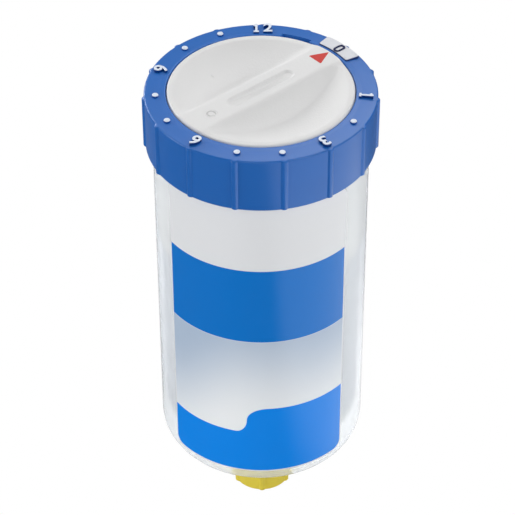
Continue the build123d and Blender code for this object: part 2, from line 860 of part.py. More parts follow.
with BuildPart() as carrier_screws:
    with BuildSketch(level(carrier_bottom)):
        with Locations(*screw_places):
            Circle(screw_head_r)
    extrude(amount=screw_head_height)
    with BuildSketch(level(carrier_bottom)):
        with Locations(*screw_places):
            Circle(screw_shank_r)
    extrude(amount=screw_end - carrier_bottom)
    with BuildSketch(level(carrier_bottom)):
        with Locations(*screw_places):
            Rectangle(screw_recess[0], screw_recess[1])
            Rectangle(screw_recess[1], screw_recess[0])
    extrude(amount=screw_recess[2], mode=Mode.SUBTRACT)
keep(carrier_screws, "carrier_screws")
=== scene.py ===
import logging
import math
from dataclasses import dataclass, field
from enum import Enum
from typing import Mapping, Sequence, Union

import bmesh
import bpy
import numpy as np
from mathutils import Matrix, Vector


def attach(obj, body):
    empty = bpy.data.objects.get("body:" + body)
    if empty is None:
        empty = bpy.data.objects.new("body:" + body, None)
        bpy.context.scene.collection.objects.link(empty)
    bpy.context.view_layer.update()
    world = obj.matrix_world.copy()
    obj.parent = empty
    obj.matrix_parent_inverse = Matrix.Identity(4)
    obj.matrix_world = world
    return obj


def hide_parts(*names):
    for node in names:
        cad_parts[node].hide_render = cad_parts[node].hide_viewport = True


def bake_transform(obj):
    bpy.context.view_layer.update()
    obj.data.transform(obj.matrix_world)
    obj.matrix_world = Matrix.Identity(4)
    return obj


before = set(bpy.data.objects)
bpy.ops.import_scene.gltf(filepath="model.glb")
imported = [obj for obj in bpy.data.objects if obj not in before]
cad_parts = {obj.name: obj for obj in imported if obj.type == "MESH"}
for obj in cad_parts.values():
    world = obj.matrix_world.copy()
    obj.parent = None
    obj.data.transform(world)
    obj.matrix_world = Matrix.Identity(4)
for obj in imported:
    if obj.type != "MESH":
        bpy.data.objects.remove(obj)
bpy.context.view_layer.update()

MM = 0.001
ARC = math.pi / 180
log = logging.getLogger("lubricator")

Colour = tuple[float, float, float, float]
Pair = tuple[float, float]
Triple = tuple[float, float, float]
Places = Union[float, np.ndarray]


# ------------------------------------------------------------------ names
class Body(Enum):
    """The moving bodies that pieces ride on."""

    HOUSING = "housing"
    DIAL = "dial"
    PISTON = "piston"
    CAP = "cap"


class Surface(Enum):
    """How fine a surface's grain is, per metre, and how deep, in millimetres."""

    POLISHED = (1300.0, 0.006)
    MOULDED = (1500.0, 0.020)
    SPARKED = (2600.0, 0.045)
    BRUSHED = (3200.0, 0.060)


@dataclass(frozen=True)
class Tag:
    """What a new piece is called and what it belongs to.

    The body is none where the piece is blended between two. The slot, a material slot of the
    record, is not used; the nodes are the solids it stands for, and edges that turn by more than
    sharp degrees stay sharp.
    """

    name: str
    body: Body | None
    slot: str
    nodes: tuple[str, ...] = ()
    sharp: float = 35.0


# ------------------------------------------------------------------ colour
def srgb(red: int, green: int, blue: int) -> Colour:
    """Turn a display colour into the linear colour a shader takes.

    Args:
        red: Red, 0 to 255.
        green: Green, 0 to 255.
        blue: Blue, 0 to 255.

    Returns:
        Linear red, green, blue and an alpha of 1.
    """
    parts = np.array([red, green, blue]) / 255.0
    linear = np.where(parts <= 0.04045, parts / 12.92, ((parts + 0.055) / 1.055) ** 2.4)
    return (*linear.tolist(), 1.0)


def lit(colour: Colour, gain: float) -> Colour:
    """Multiply a colour's light by a gain, up to full."""
    return (*(min(part * gain, 1.0) for part in colour[:3]), 1.0)


# ------------------------------------------------------------------ shader maths
Value = Union[float, "Wire"]


@dataclass(frozen=True)
class Wire:
    """A number or colour on its way through a material, with arithmetic."""

    dress: "Dress"
    socket: bpy.types.NodeSocket

    def _math(self, operation: str, *values: Value) -> "Wire":
        """Join values with one Math node."""
        return self.dress.node("ShaderNodeMath", {"operation": operation}, dict(enumerate(values)))

    def __add__(self, other: Value) -> "Wire":
        """Add."""
        return self._math("ADD", self, other)

    __radd__ = __add__

    def __sub__(self, other: Value) -> "Wire":
        """Subtract."""
        return self._math("SUBTRACT", self, other)

    def __rsub__(self, other: Value) -> "Wire":
        """Subtract this from a number."""
        return self._math("SUBTRACT", other, self)

    def __mul__(self, other: Value) -> "Wire":
        """Multiply."""
        return self._math("MULTIPLY", self, other)

    __rmul__ = __mul__

    def __truediv__(self, other: Value) -> "Wire":
        """Divide."""
        return self._math("DIVIDE", self, other)

    def __gt__(self, other: Value) -> "Wire":
        """Give 1 where this is greater and 0 elsewhere."""
        return self._math("GREATER_THAN", self, other)

    def __lt__(self, other: Value) -> "Wire":
        """Give 1 where this is less and 0 elsewhere."""
        return self._math("LESS_THAN", self, other)

    def __abs__(self) -> "Wire":
        """Drop the sign."""
        return self._math("ABSOLUTE", self)

    def root(self) -> "Wire":
        """Take the square root."""
        return self._math("SQRT", self)

    def bearing(self, ahead: "Wire") -> "Wire":
        """Give the angle of (this, ahead) in radians, clockwise from ahead."""
        return self._math("ARCTAN2", self, ahead)

    def output(self, name: str) -> "Wire":
        """Take another output of the node that this wire leaves."""
        return Wire(self.dress, self.socket.node.outputs[name])

    def ramp(self, low: float, high: float) -> "Wire":
        """Rise smoothly from 0 to 1 between two values.

        Args:
            low: Where the rise starts.
            high: Where it ends.

        Returns:
            The eased wire.
        """
        return self.dress.node(
            "ShaderNodeMapRange",
            {"interpolation_type": "SMOOTHSTEP", "clamp": True},
            {0: self, 1: low, 2: high, 3: 0.0, 4: 1.0},
        )


class Dress:
    """A node material, or the world's, in the making."""

    def __init__(self, owner: Union[bpy.types.Material, bpy.types.World]) -> None:
        """Start with an empty tree.

        Args:
            owner: The material or world to dress.
        """
        owner.use_nodes = True
        self.owner = owner
        self.tree = owner.node_tree
        self.tree.nodes.clear()

    @classmethod
    def named(cls, name: str) -> "Dress":
        """Start a new material."""
        return cls(bpy.data.materials.new(name))

    def node(
        self,
        kind: str,
        settings: Mapping[str, object] | None = None,
        inputs: Mapping[Union[int, str], object] | None = None,
        out: Union[int, str] = 0,
    ) -> Wire:
        """Add a node, set it up, then fill its sockets.

        Args:
            kind: The node's type.
            settings: Its own settings.
            inputs: Values or wires by socket name or number.
            out: The output wanted.

        Returns:
            The wire that leaves that output.
        """
        made = self.tree.nodes.new(kind)
        for key, value in (settings or {}).items():
            setattr(made, key, value)
        for key, value in (inputs or {}).items():
            if isinstance(value, Wire):
                self.tree.links.new(value.socket, made.inputs[key])
            else:
                made.inputs[key].default_value = value
        return Wire(self, made.outputs[out] if made.outputs else None)

    def place(self) -> Wire:
        """Give the object's own coordinates, in metres."""
        return self.node("ShaderNodeTexCoord", out="Object")

    def axes(self) -> tuple[Wire, ...]:
        """Give the object's x, y and z coordinates, in millimetres."""
        split = self.node("ShaderNodeSeparateXYZ", inputs={0: self.place()})
        return tuple(split.output(axis) * (1 / MM) for axis in "XYZ")

    def noise(self, scale: float, detail: float = 2.0, stretch: float = 1.0) -> Wire:
        """Give cloudy noise from 0 to 1.

        Args:
            scale: How fine it is, per metre.
            detail: How many octaves it has.
            stretch: How much finer it is up the object than across it.

        Returns:
            The noise.
        """
        spot = {"Vector": self.place(), "Scale": (1.0, 1.0, stretch)}
        at = self.node("ShaderNodeMapping", inputs=spot)
        made = {"Vector": at, "Scale": scale, "Detail": detail}
        return self.node("ShaderNodeTexNoise", inputs=made)

    def uneven(self, middle: float, spread: float, scale: float, detail: float = 2.0) -> Wire:
        """Give a value that wanders by a share of itself, in clouds.

        It is middle (1 - spread / 2 + spread noise).

        Args:
            middle: The value half way.
            spread: How far it wanders in all, as a share of the middle.
            scale: How fine the clouds are, per metre.
            detail: How many octaves they have.

        Returns:
            The uneven value.
        """
        return middle * (1 - spread / 2 + spread * self.noise(scale, detail))

    def mix(self, mask: Value, low: object, high: object) -> Wire:
        """Blend two colours.

        Args:
            mask: How much of the second, 0 to 1.
            low: The colour where the mask is 0.
            high: The colour where it is 1.

        Returns:
            The blended colour.
        """
        return self.node("ShaderNodeMix", {"data_type": "RGBA"}, {0: mask, 6: low, 7: high}, out=2)

    def bump(self, height: Wire, depth: float) -> Wire:
        """Turn a height from 0 to 1, where 1 stands for a depth in millimetres, into a normal."""
        relief = {"Strength": 1.0, "Distance": depth * MM, "Height": height}
        return self.node("ShaderNodeBump", inputs=relief)

    def finish(self, **sockets: object) -> bpy.types.Material:
        """Close the material with one principled shader.

        Args:
            sockets: Values or wires by socket name, with _ for a space.

        Returns:
            The finished material.
        """
        named = {key.replace("_", " "): value for key, value in sockets.items()}
        shader = self.node("ShaderNodeBsdfPrincipled", inputs=named)
        self.node("ShaderNodeOutputMaterial", inputs={"Surface": shader})
        return self.owner


# ------------------------------------------------------------------ finishes
@dataclass(frozen=True)
class Moulding:
    """Moulded plastic: a fine grain, a faint cloudiness and slightly uneven gloss."""

    name: str
    colour: Colour
    rough: float = 0.35
    grain: Surface = Surface.MOULDED
    cloud: float = 0.04
    shine: float = 0.4
    coat: float = 0.0
    coat_rough: float = 0.15
    glow_through: float = 0.0
    glow_reach: Triple = (0.002, 0.002, 0.002)
    patches: float = 90.0
    gloss_patches: float = 240.0
    gloss_spread: float = 0.24

    def colours(self, dress: Dress) -> Wire:
        """Give the colour, a little lighter and darker in clouds."""
        dark, light = lit(self.colour, 1 - 2 * self.cloud), lit(self.colour, 1 + self.cloud)
        return dress.mix(dress.noise(self.patches, 3.0), dark, light)

    def make(self) -> bpy.types.Material:
        """Make the material.

        Returns:
            The material.
        """
        dress = Dress.named(self.name)
        scale, depth = self.grain.value
        return dress.finish(
            Base_Color=self.colours(dress),
            Roughness=dress.uneven(self.rough, self.gloss_spread, self.gloss_patches, 3.0),
            Specular_IOR_Level=self.shine,
            Coat_Weight=self.coat,
            Coat_Roughness=self.coat_rough,
            Subsurface_Weight=self.glow_through,
            Subsurface_Radius=self.glow_reach,
            Normal=dress.bump(dress.noise(scale), depth),
        )


@dataclass(frozen=True)
class Stamped(Moulding):
    """A moulding whose raised tops, above a height, are printed in another colour, and whose sides
    may be darkened as painted shade.
    """

    top: Colour = srgb(225, 233, 245)
    height: float = 103.0
    fade: float = 0.05

    def colours(self, dress: Dress) -> Wire:
        """Give the moulding's colour below the height and the print's above it."""
        plain, up = super().colours(dress), dress.axes()[2]
        return dress.mix(up.ramp(self.height, self.height + self.fade), plain, self.top)


@dataclass(frozen=True)
class ClearWall:
    """Clear moulded plastic with the faint upright streaks that moulding leaves."""

    name: str
    tint: Colour
    index: float
    clear: float = 0.62
    coat: float = 0.35
    coat_rough: float = 0.08
    rough: float = 0.1
    gloss_spread: float = 0.8
    gloss_patches: float = 60.0
    streaks: float = 140.0
    streak_stretch: float = 0.15
    streak_depth: float = 0.05

    def make(self) -> bpy.types.Material:
        """Make the material.

        Returns:
            The material.
        """
        dress = Dress.named(self.name)
        streaks = dress.noise(self.streaks, stretch=self.streak_stretch)
        return dress.finish(
            Base_Color=self.tint,
            Roughness=dress.uneven(self.rough, self.gloss_spread, self.gloss_patches),
            IOR=self.index,
            Transmission_Weight=self.clear,
            Coat_Weight=self.coat,
            Coat_Roughness=self.coat_rough,
            Normal=dress.bump(streaks, self.streak_depth),
        )


@dataclass(frozen=True)
class Metal:
    """Drawn or rolled metal with fine scratches."""

    name: str
    colour: Colour
    rough: float = 0.3
    grain: Surface = Surface.BRUSHED
    patches: float = 150.0
    dark: float = 0.9
    gloss_spread: float = 0.4
    scratch_stretch: float = 8.0
    scratch_share: float = 0.1

    def make(self) -> bpy.types.Material:
        """Make the material.

        Returns:
            The material.
        """
        dress = Dress.named(self.name)
        scale, depth = self.grain.value
        scratches = dress.noise(scale, 3.0, self.scratch_stretch)
        patches = dress.noise(self.patches, 3.0)
        return dress.finish(
            Base_Color=dress.mix(patches, lit(self.colour, self.dark), self.colour),
            Metallic=1.0,
            Roughness=self.rough * (1 - self.gloss_spread / 2 + self.gloss_spread * scratches),
            Normal=dress.bump(scratches, depth * self.scratch_share),
        )


@dataclass(frozen=True)
class LabelSize:
    """Where the label lies on the wall: radius and heights in millimetres, bearings in degrees."""

    radius: float = 25.09
    thickness: float = 0.08
    bearings: Pair = (129.6, 236.7)
    heights: Pair = (6.12, 88.17)
    corner: float = 2.6


@dataclass(frozen=True)
class Print:
    """The label's print: pale field, solid band, shaded field and a swept lower field; the shaded
    field's pale foot is partly painted light.
    """

    name: str = "label_print"
    size: LabelSize = LabelSize()
    paper: Colour = srgb(234, 236, 239)
    band: Colour = srgb(0, 118, 208)
    shade: Colour = srgb(180, 198, 220)
    # painted light: the shaded field pales to this foot colour, brighter than the paper, to stand
    # in for light that is weaker low on the label
    foot: Colour = srgb(250, 253, 255)
    lower: Colour = srgb(0, 140, 246)
    band_heights: Pair = (48.5, 70.15)
    sweep_heights: Pair = (19.25, 27.2)
    sweep_at: float = 188.4
    foot_bend: Pair = (2.8, 4.0)  # half width and half height
    head_bend: Pair = (5.2, 3.95)
    fade: Pair = (-41.0, -7.0)  # minus the heights where the shading starts to pale and is gone
    fade_left: float = 15.0  # how far these rise along the label, and over what distance
    fade_left_over: Pair = (-24.0, 0.0)
    fade_right: float = 3.0  # and how far they fall again
    fade_right_over: Pair = (4.0, 22.0)
    margin: float = 0.32
    edge: float = 0.12
    rough: float = 0.2
    rough_rise: float = 0.06
    gloss_patches: float = 300.0
    shine: float = 0.3
    grain: Pair = (500.0, 0.02)  # fineness and depth

    def border(self, along: Wire, z: Wire) -> Wire:
        """Give 1 inside the bare border and 0 on it, by the distance to a round-cornered frame.

        The distance is the length of (|a| - A + R, |h| - H + R), each held at 0 or more, less R.

        Args:
            along: The distance along the wall from where the sweep steps up.
            z: The height.

        Returns:
            The mask.
        """
        size, (low, high), (first, last) = self.size, self.size.heights, self.size.bearings
        middle = (self.sweep_at - (first + last) / 2) * size.radius * ARC
        wide = (last - first) / 2 * size.radius * ARC
        a = abs(along - middle) - (wide - size.corner)
        h = abs(z - (low + high) / 2) - ((high - low) / 2 - size.corner)
        a, h = a * (a > 0.0), h * (h > 0.0)
        far = (a * a + h * h).root() - (size.corner - self.margin)
        return 1.0 - far.ramp(-self.edge / 2, self.edge / 2)

    def bend(self, along: Wire, wide: float, tall: float) -> Wire:
        """Give the rise of a quarter of an ellipse.

        It is tall (1 - sqrt(1 - (a / wide)^2)), with a held between 0 and wide.

        Args:
            along: The distance a.
            wide: The ellipse's half width.
            tall: Its half height.

        Returns:
            The rise.
        """
        held = along.dress.node("ShaderNodeClamp", inputs={0: along / wide, 1: 0.0, 2: 1.0})
        return tall - (1.0 - held * held).root() * tall

    def make(self) -> bpy.types.Material:
        """Make the material. The lower field's edge steps up along two quarter ellipses.

        Returns:
            The material.
        """
        dress = Dress.named(self.name)
        x, y, z = dress.axes()
        turn = x.bearing(y) * (180 / math.pi)
        along = (turn + 360.0 * (turn < 0.0) - self.sweep_at) * (-self.size.radius * ARC)
        (low, high), (band_low, band_high) = self.sweep_heights, self.band_heights
        up = self.bend(along + self.foot_bend[0], *self.foot_bend)
        down = self.bend(self.head_bend[0] - along, *self.head_bend)
        right = along > 0.0
        sweep = (1.0 - right) * (low + up) + right * (high - down)
        above = z.ramp(band_low, band_low + self.edge)
        in_band = above * (1.0 - z.ramp(band_high, band_high + self.edge))
        in_shade = 1.0 - z.ramp(band_low - self.edge, band_low)
        left_lift = self.fade_left * along.ramp(*self.fade_left_over)
        lift = left_lift - self.fade_right * along.ramp(*self.fade_right_over)
        # the print's shaded field, paling to a foot colour that is partly painted light
        shaded = dress.mix((lift - z).ramp(*self.fade), self.shade, self.foot)
        colour = dress.mix(in_shade, self.paper, shaded)
        colour = dress.mix(in_band, colour, self.band)
        colour = dress.mix((sweep - z).ramp(0.0, self.edge), colour, self.lower)
        colour = dress.mix(self.border(along, z), self.paper, colour)
        return dress.finish(
            Base_Color=colour,
            Roughness=self.rough + self.rough_rise * dress.noise(self.gloss_patches),
            Specular_IOR_Level=self.shine,
            Normal=dress.bump(dress.noise(self.grain[0]), self.grain[1]),
        )


# ------------------------------------------------------------------ surfaces
def rounded(corners: Sequence[Triple], steps: int = 6) -> np.ndarray:
    """Round the corners of a line of (radius, height, fillet) corners.

    Each fillet is a circular arc, drawn as a rational quadratic curve whose middle weight is
    the sine of half the angle between the two runs.

    Args:
        corners: The corners in order; the first and last keep their place.
        steps: The points on each fillet.

    Returns:
        The points of the rounded line, one (radius, height) a row.
    """
    spots = np.array([c[:2] for c in corners], float)
    out = [spots[:1]]
    t = np.linspace(0, 1, steps)[:, None]
    for k in range(1, len(corners) - 1):
        here, fillet = spots[k], corners[k][2]
        back, ahead = spots[k - 1] - here, spots[k + 1] - here
        back, ahead = back / np.linalg.norm(back), ahead / np.linalg.norm(ahead)
        half = math.acos(float(np.clip(back @ ahead, -1, 1))) / 2
        if fillet <= 0 or half > math.pi / 2 - 1e-3:
            out.append(here[None])
            continue
        reach, weight = fillet / math.tan(half), math.sin(half)
        start, end = here + back * reach, here + ahead * reach
        parts = ((1 - t) ** 2, 2 * weight * t * (1 - t), t**2)
        out.append((parts[0] * start + parts[1] * here + parts[2] * end) / sum(parts))
    return np.concatenate(out + [spots[-1:]])


def soft_max(a: np.ndarray, b: np.ndarray, blend: float) -> np.ndarray:
    """Take the larger of two heights, eased where they are within blend of each other."""
    ease = np.maximum(blend - np.abs(a - b), 0) / blend
    return np.maximum(a, b) + ease**2 * blend / 4


def spread(profile: np.ndarray, columns: int) -> np.ndarray:
    """Repeat a profile's rows across a number of columns."""
    return np.repeat(profile[:, None], columns, 1)


def turned(profile: np.ndarray, bearings: np.ndarray) -> np.ndarray:
    """Carry a profile round the axis.

    A point at radius r and bearing b is at (r sin b, r cos b).

    Args:
        profile: (radius, height) rows, or (rows, columns, 2) where they vary round the axis.
        bearings: Bearings in radians, one a column, or one a point.

    Returns:
        The grid of points, rows by bearings by 3.
    """
    if profile.ndim == 2:
        profile = spread(profile, len(bearings))
    radius, height = profile[..., 0], profile[..., 1]
    return np.stack([radius * np.sin(bearings), radius * np.cos(bearings), height], -1)


def whole_turn(columns: int) -> np.ndarray:
    """Give evenly spaced bearings round a whole turn, in radians."""
    return np.arange(columns) * (2 * math.pi / columns)


def divided(line: np.ndarray, parts: np.ndarray) -> np.ndarray:
    """Divide the runs of a closed line evenly.

    A point is its run's start plus a share of the way to the next corner.

    Args:
        line: The corners, one (x, y) a row.
        parts: How many parts each run gets.

    Returns:
        The points of the divided line.
    """
    first = np.repeat(np.cumsum(parts) - parts, parts)
    share = (np.arange(parts.sum()) - first) / np.repeat(parts, parts)
    ahead = np.repeat(np.roll(line, -1, axis=0) - line, parts, axis=0)
    return np.repeat(line, parts, axis=0) + ahead * share[:, None]


def stand(name: str, data: bpy.types.ID) -> bpy.types.Object:
    """Put a new object into the scene, at the origin.

    Args:
        name: The object's name.
        data: Its mesh, curve, lamp or camera.

    Returns:
        The object.
    """
    made = bpy.data.objects.new(name, data)
    bpy.context.scene.collection.objects.link(made)
    return made


def wear(mesh: bpy.types.Mesh, material: bpy.types.Material) -> None:
    """Give a mesh one material."""
    mesh.materials.clear()
    mesh.materials.append(material)


def settle(mesh: bpy.types.Mesh, tag: Tag, material: bpy.types.Material) -> bpy.types.Object:
    """Close a mesh's seams and poles, turn its faces outwards, and make it a piece.

    Args:
        mesh: The mesh, in place.
        tag: What the piece is.
        material: Its finish.

    Returns:
        The piece.
    """
    work = bmesh.new()
    work.from_mesh(mesh)
    bmesh.ops.remove_doubles(work, verts=work.verts, dist=2e-6)
    bmesh.ops.recalc_face_normals(work, faces=work.faces)
    work.to_mesh(mesh)
    work.free()
    wear(mesh, material)
    piece = stand(tag.name, mesh)
    chosen = {"object": piece, "active_object": piece, "selected_objects": [piece],
              "selected_editable_objects": [piece]}
    with bpy.context.temp_override(**chosen):
        bpy.ops.object.shade_smooth_by_angle(angle=math.radians(tag.sharp))
    if tag.body is not None:
        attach(piece, tag.body.value)
    if tag.nodes:
        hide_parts(*tag.nodes)
    on = tag.body.value if tag.body else "two bodies"
    log.info("%s on %s: %d faces", tag.name, on, len(mesh.polygons))
    return piece


@dataclass
class Skin:
    """A mesh gathered from grids of points, in millimetres."""

    grids: list[tuple[np.ndarray, bool]] = field(default_factory=list)

    def add(self, grid: np.ndarray, wrap: bool = True) -> "Skin":
        """Add a grid of quads, rows by columns by 3, whose last column may join the first."""
        self.grids.append((np.asarray(grid, float), wrap))
        return self

    def mesh(self, name: str) -> bpy.types.Mesh:
        """Make the mesh in metres, with a face between each four neighbours of a grid.

        Args:
            name: The mesh's name.

        Returns:
            The mesh.
        """
        points, quads, start = [], [], 0
        for grid, wrap in self.grids:
            rows, cols = grid.shape[:2]
            i = np.arange(rows - 1)[:, None] * cols + start
            j = np.arange(cols if wrap else cols - 1)[None, :]
            k = (j + 1) % cols
            quads.append(np.stack([i + j, i + k, i + cols + k, i + cols + j], -1).reshape(-1, 4))
            points.append(grid.reshape(-1, 3) * MM)
            start += rows * cols
        spots, faces = np.concatenate(points), np.concatenate(quads)
        mesh = bpy.data.meshes.new(name)
        mesh.vertices.add(len(spots))
        mesh.vertices.foreach_set("co", spots.ravel())
        mesh.loops.add(faces.size)
        mesh.loops.foreach_set("vertex_index", faces.ravel().astype(np.int32))
        mesh.polygons.add(len(faces))
        mesh.polygons.foreach_set("loop_start", np.arange(0, faces.size, 4, dtype=np.int32))
        mesh.update(calc_edges=True)
        return mesh

    def build(self, tag: Tag, material: bpy.types.Material) -> bpy.types.Object:
        """Make the piece."""
        return settle(self.mesh(tag.name), tag, material)


@dataclass(frozen=True)
class Ribs:
    """Rods set evenly round a wall, each standing out of it by a height.

    A mesh column lies at each of close bearings within reach degrees of a rib's middle, and
    at apart bearings from there to half way to the next rib.
    """

    wall: float
    count: int
    radius: float
    height: float
    first: float
    reach: float
    close: int
    apart: int
    foot: float

    def bearing(self, place: Places) -> Places:
        """Give the bearing of a rib's middle in degrees, by its number from the first."""
        return self.first + place * 360.0 / self.count

    def columns(self) -> np.ndarray:
        """Give the columns' bearings in degrees, rib by rib.

        Returns:
            The bearings, from 0 to 360.
        """
        near = np.linspace(-self.reach, self.reach, self.close)
        far = np.linspace(self.reach, 180.0 / self.count, self.apart)[1:]
        one = np.concatenate([near, far, -far[:-1]])
        return (self.bearing(np.arange(self.count)[:, None]) + one).ravel() % 360.0

    def swell(self, profile: np.ndarray, share: np.ndarray, bearings: np.ndarray) -> np.ndarray:
        """Push a profile out where the ribs are.

        At an angle d from a rod's middle the ray from the axis leaves the rod at
        c cos d + sqrt(r^2 - c^2 sin^2 d), c being the rod's distance.

        Args:
            profile: (radius, height) rows.
            share: How much of the ribs' rise each row takes.
            bearings: The columns' bearings in degrees.

        Returns:
            (radius, height) for each row and column.
        """
        half = 180.0 / self.count
        off = np.radians((bearings - self.first + half) % (2 * half) - half)
        centre = self.wall + self.height - self.radius
        inside = self.radius**2 - (centre * np.sin(off)) ** 2
        rise = centre * np.cos(off) + np.sqrt(np.maximum(inside, 0)) - self.wall
        rise = soft_max(np.where(inside > 0, rise, -1.0), np.zeros_like(rise), self.foot)
        grid = spread(profile, len(bearings))
        grid[..., 0] += share[:, None] * rise
        return grid


# ------------------------------------------------------------------ grip ring
@dataclass
class GripRing:
    """The blue ring: ribbed skirt, top with raised marks, a notch and the white flag at 0."""

    ribs: Ribs = Ribs(wall=26.62, count=15, radius=0.8, height=0.48, first=0.9, reach=2.9,
                      close=23, apart=7, foot=0.16)
    top: float = 103.0
    bottom: float = 89.17
    bore: float = 21.62
    skirt: float = 24.75
    underside: float = 100.3
    edge: float = 0.42
    fall: float = 0.2
    inner_edge: float = 0.3
    lip: float = 0.3
    foot_edge: float = 0.3
    snap_z: float = 94.57
    snap_bite: float = 0.35
    snap_halves: Pair = (0.25, 0.6)  # half heights of its crown and its foot
    notch: Pair = (13.0, 31.0)  # bearings of its ends
    notch_edge: float = 0.12
    notch_outer: float = 22.9
    notch_wall: float = 0.06  # half the width over which its outer wall falls
    notch_depth: float = 1.2
    dots: tuple[int, ...] = (5, 7, 8, 10, 11, 13, 14)  # in ribs from the first
    dot_radius: float = 0.72
    dot_flare: float = 0.06
    dot_height: float = 0.5
    dot_root: float = 0.1
    dot_edge: float = 0.3
    mark_radius: float = 24.0
    numerals: tuple[tuple[str, int], ...] = (("12", 0), ("1", 4), ("3", 6), ("6", 9), ("9", 12))
    numeral_size: float = 4.5
    numeral_rise: float = 0.7
    numeral_gain: float = 0.05
    numeral_edge: float = 0.05
    numeral_sink: float = 0.1
    digit_pitch: float = 0.6
    # the outline of a 1, and the half sizes of a 0's two ovals, for digits one unit tall
    one: tuple[Pair, ...] = (
        (-0.13, -0.36), (0.13, -0.36), (0.13, -0.27), (0.05, -0.27), (0.05, 0.34), (-0.03, 0.34),
        (-0.16, 0.25), (-0.12, 0.17), (-0.05, 0.215), (-0.05, -0.27), (-0.13, -0.27),
    )
    zero: tuple[Pair, ...] = ((0.195, 0.32), (0.11, 0.235))
    zero_squareness: float = 0.62
    zero_place: float = 2.0
    zero_turn: float = 0.5
    zero_sink: float = 0.5
    flag: Pair = (36.9, 60.9)  # bearings of its sides
    flag_radii: Pair = (22.35, 26.1)
    flag_corner: float = 0.5
    flag_root: float = 0.5
    flag_rise: float = 0.45
    # how far in the outline is drawn, and how far up the flag that is, as shares
    flag_steps: tuple[Pair, ...] = (
        (0.0, 0.0), (0.0, 0.6), (0.04, 0.85), (0.12, 1.0), (0.5, 1.0), (1.0, 1.0),
    )
    # how far below its top each mark's print starts
    numeral_print: float = 0.08
    dot_print: float = 0.22
    flag_print: float = 0.12

    def shell(self) -> Skin:
        """Work out the ring: a profile turned round, swollen at the ribs, sunk at the notch.

        Returns:
            The ring's surface.
        """
        wall, top, bite = self.ribs.wall, self.top, self.skirt - self.snap_bite
        near, far = self.snap_halves
        outside = rounded(
            [
                (self.notch_outer + self.notch_wall, top, 0),
                (wall, top - self.fall, self.edge),
                (wall, self.bottom, self.foot_edge),
                (self.skirt, self.bottom, 0),
            ],
            steps=9,
        )
        inside = rounded(
            [
                (self.skirt, self.bottom, 0),
                (self.skirt, self.snap_z - far, 0),
                (bite, self.snap_z - near, 0),
                (bite, self.snap_z + near, 0),
                (self.skirt, self.snap_z + far, 0),
                (self.skirt, self.underside, 0),
                (self.bore, self.underside, 0),
                (self.bore, top + self.lip, self.inner_edge),
                (self.notch_outer - self.notch_wall, top, 0),
                (self.notch_outer + self.notch_wall, top, 0),
            ],
            steps=5,
        )
        profile = np.concatenate([outside, inside])
        radius, height = profile.T
        near_top = height > (top + self.bottom) / 2
        depth = np.where(near_top, self.edge, self.foot_edge)
        share = np.clip((radius - (wall - depth)) / depth, 0, 1) ** 2
        lips = [edge + gap for edge in self.notch for gap in (-self.notch_edge, self.notch_edge)]
        bearings = np.unique(np.round(np.concatenate([self.ribs.columns(), lips]), 4))
        grid = self.ribs.swell(profile, share, bearings)
        sunk = (bearings > self.notch[0]) & (bearings < self.notch[1])
        floor = top - self.notch_depth
        low = (radius < self.notch_outer) & (height > floor)
        grid[..., 1] = np.where(low[:, None] & sunk, floor, grid[..., 1])
        return Skin().add(turned(grid, np.radians(bearings)))

    def dot_skin(self) -> Skin:
        """Work out the dots as low studs with a round edge.

        Returns:
            The surface of all the dots.
        """
        foot, crown = self.dot_radius + self.dot_flare, self.top + self.dot_height
        profile = rounded(
            [
                (foot, self.top - self.dot_root, 0),
                (foot, self.top, 0),
                (self.dot_radius, crown, self.dot_edge),
                (0.0, crown, 0),
            ],
            steps=7,
        )
        stud, skin = turned(profile, whole_turn(28)), Skin()
        for place in self.dots:
            at = math.radians(self.ribs.bearing(place))
            skin.add(stud + np.array([math.sin(at), math.cos(at), 0]) * self.mark_radius)
        return skin

    def outlines(self, text: str) -> list[np.ndarray]:
        """Draw the digits that no font has: a 1 with a slab foot and a 0 with square shoulders.

        The 0 is two ovals, each with both coordinates of a circle's points raised to a power.

        Args:
            text: The digit.

        Returns:
            Its closed outlines for a digit one unit tall, and none for the other digits.
        """
        if text == "1":
            return [np.array(self.one)]
        turn = whole_turn(40)
        shape = np.stack([np.cos(turn), np.sin(turn)], -1)
        shape = np.sign(shape) * np.abs(shape) ** self.zero_squareness
        return [shape * size for size in self.zero] if text == "0" else []

    def glyph(self, text: str) -> bpy.types.Mesh:
        """Cut a digit, drawn here or by the built-in font, as thick as the numerals rise.

        Args:
            text: The digit.

        Returns:
            The digit, centred and lying flat.
        """
        drawn = self.outlines(text)
        curve = bpy.data.curves.new("glyph", "CURVE" if drawn else "FONT")
        for outline in drawn:
            curve.dimensions, curve.fill_mode = "2D", "BOTH"
            line = curve.splines.new("POLY")
            line.points.add(len(outline) - 1)
            corners = outline * self.numeral_size * MM
            line.points.foreach_set("co", np.pad(corners, ((0, 0), (0, 2))).ravel())
            line.use_cyclic_u = True
        if not drawn:
            curve.body, curve.size = text, self.numeral_size * MM
            curve.offset = self.numeral_gain * MM
            curve.align_x, curve.align_y = "CENTER", "CENTER"
        curve.extrude = self.numeral_rise / 2 * MM
        curve.bevel_depth, curve.bevel_resolution = self.numeral_edge * MM, 2
        holder = stand("glyph", curve)
        bpy.context.view_layer.update()
        solid = holder.evaluated_get(bpy.context.evaluated_depsgraph_get())
        mesh = bpy.data.meshes.new_from_object(solid)
        bpy.data.objects.remove(holder)
        return mesh

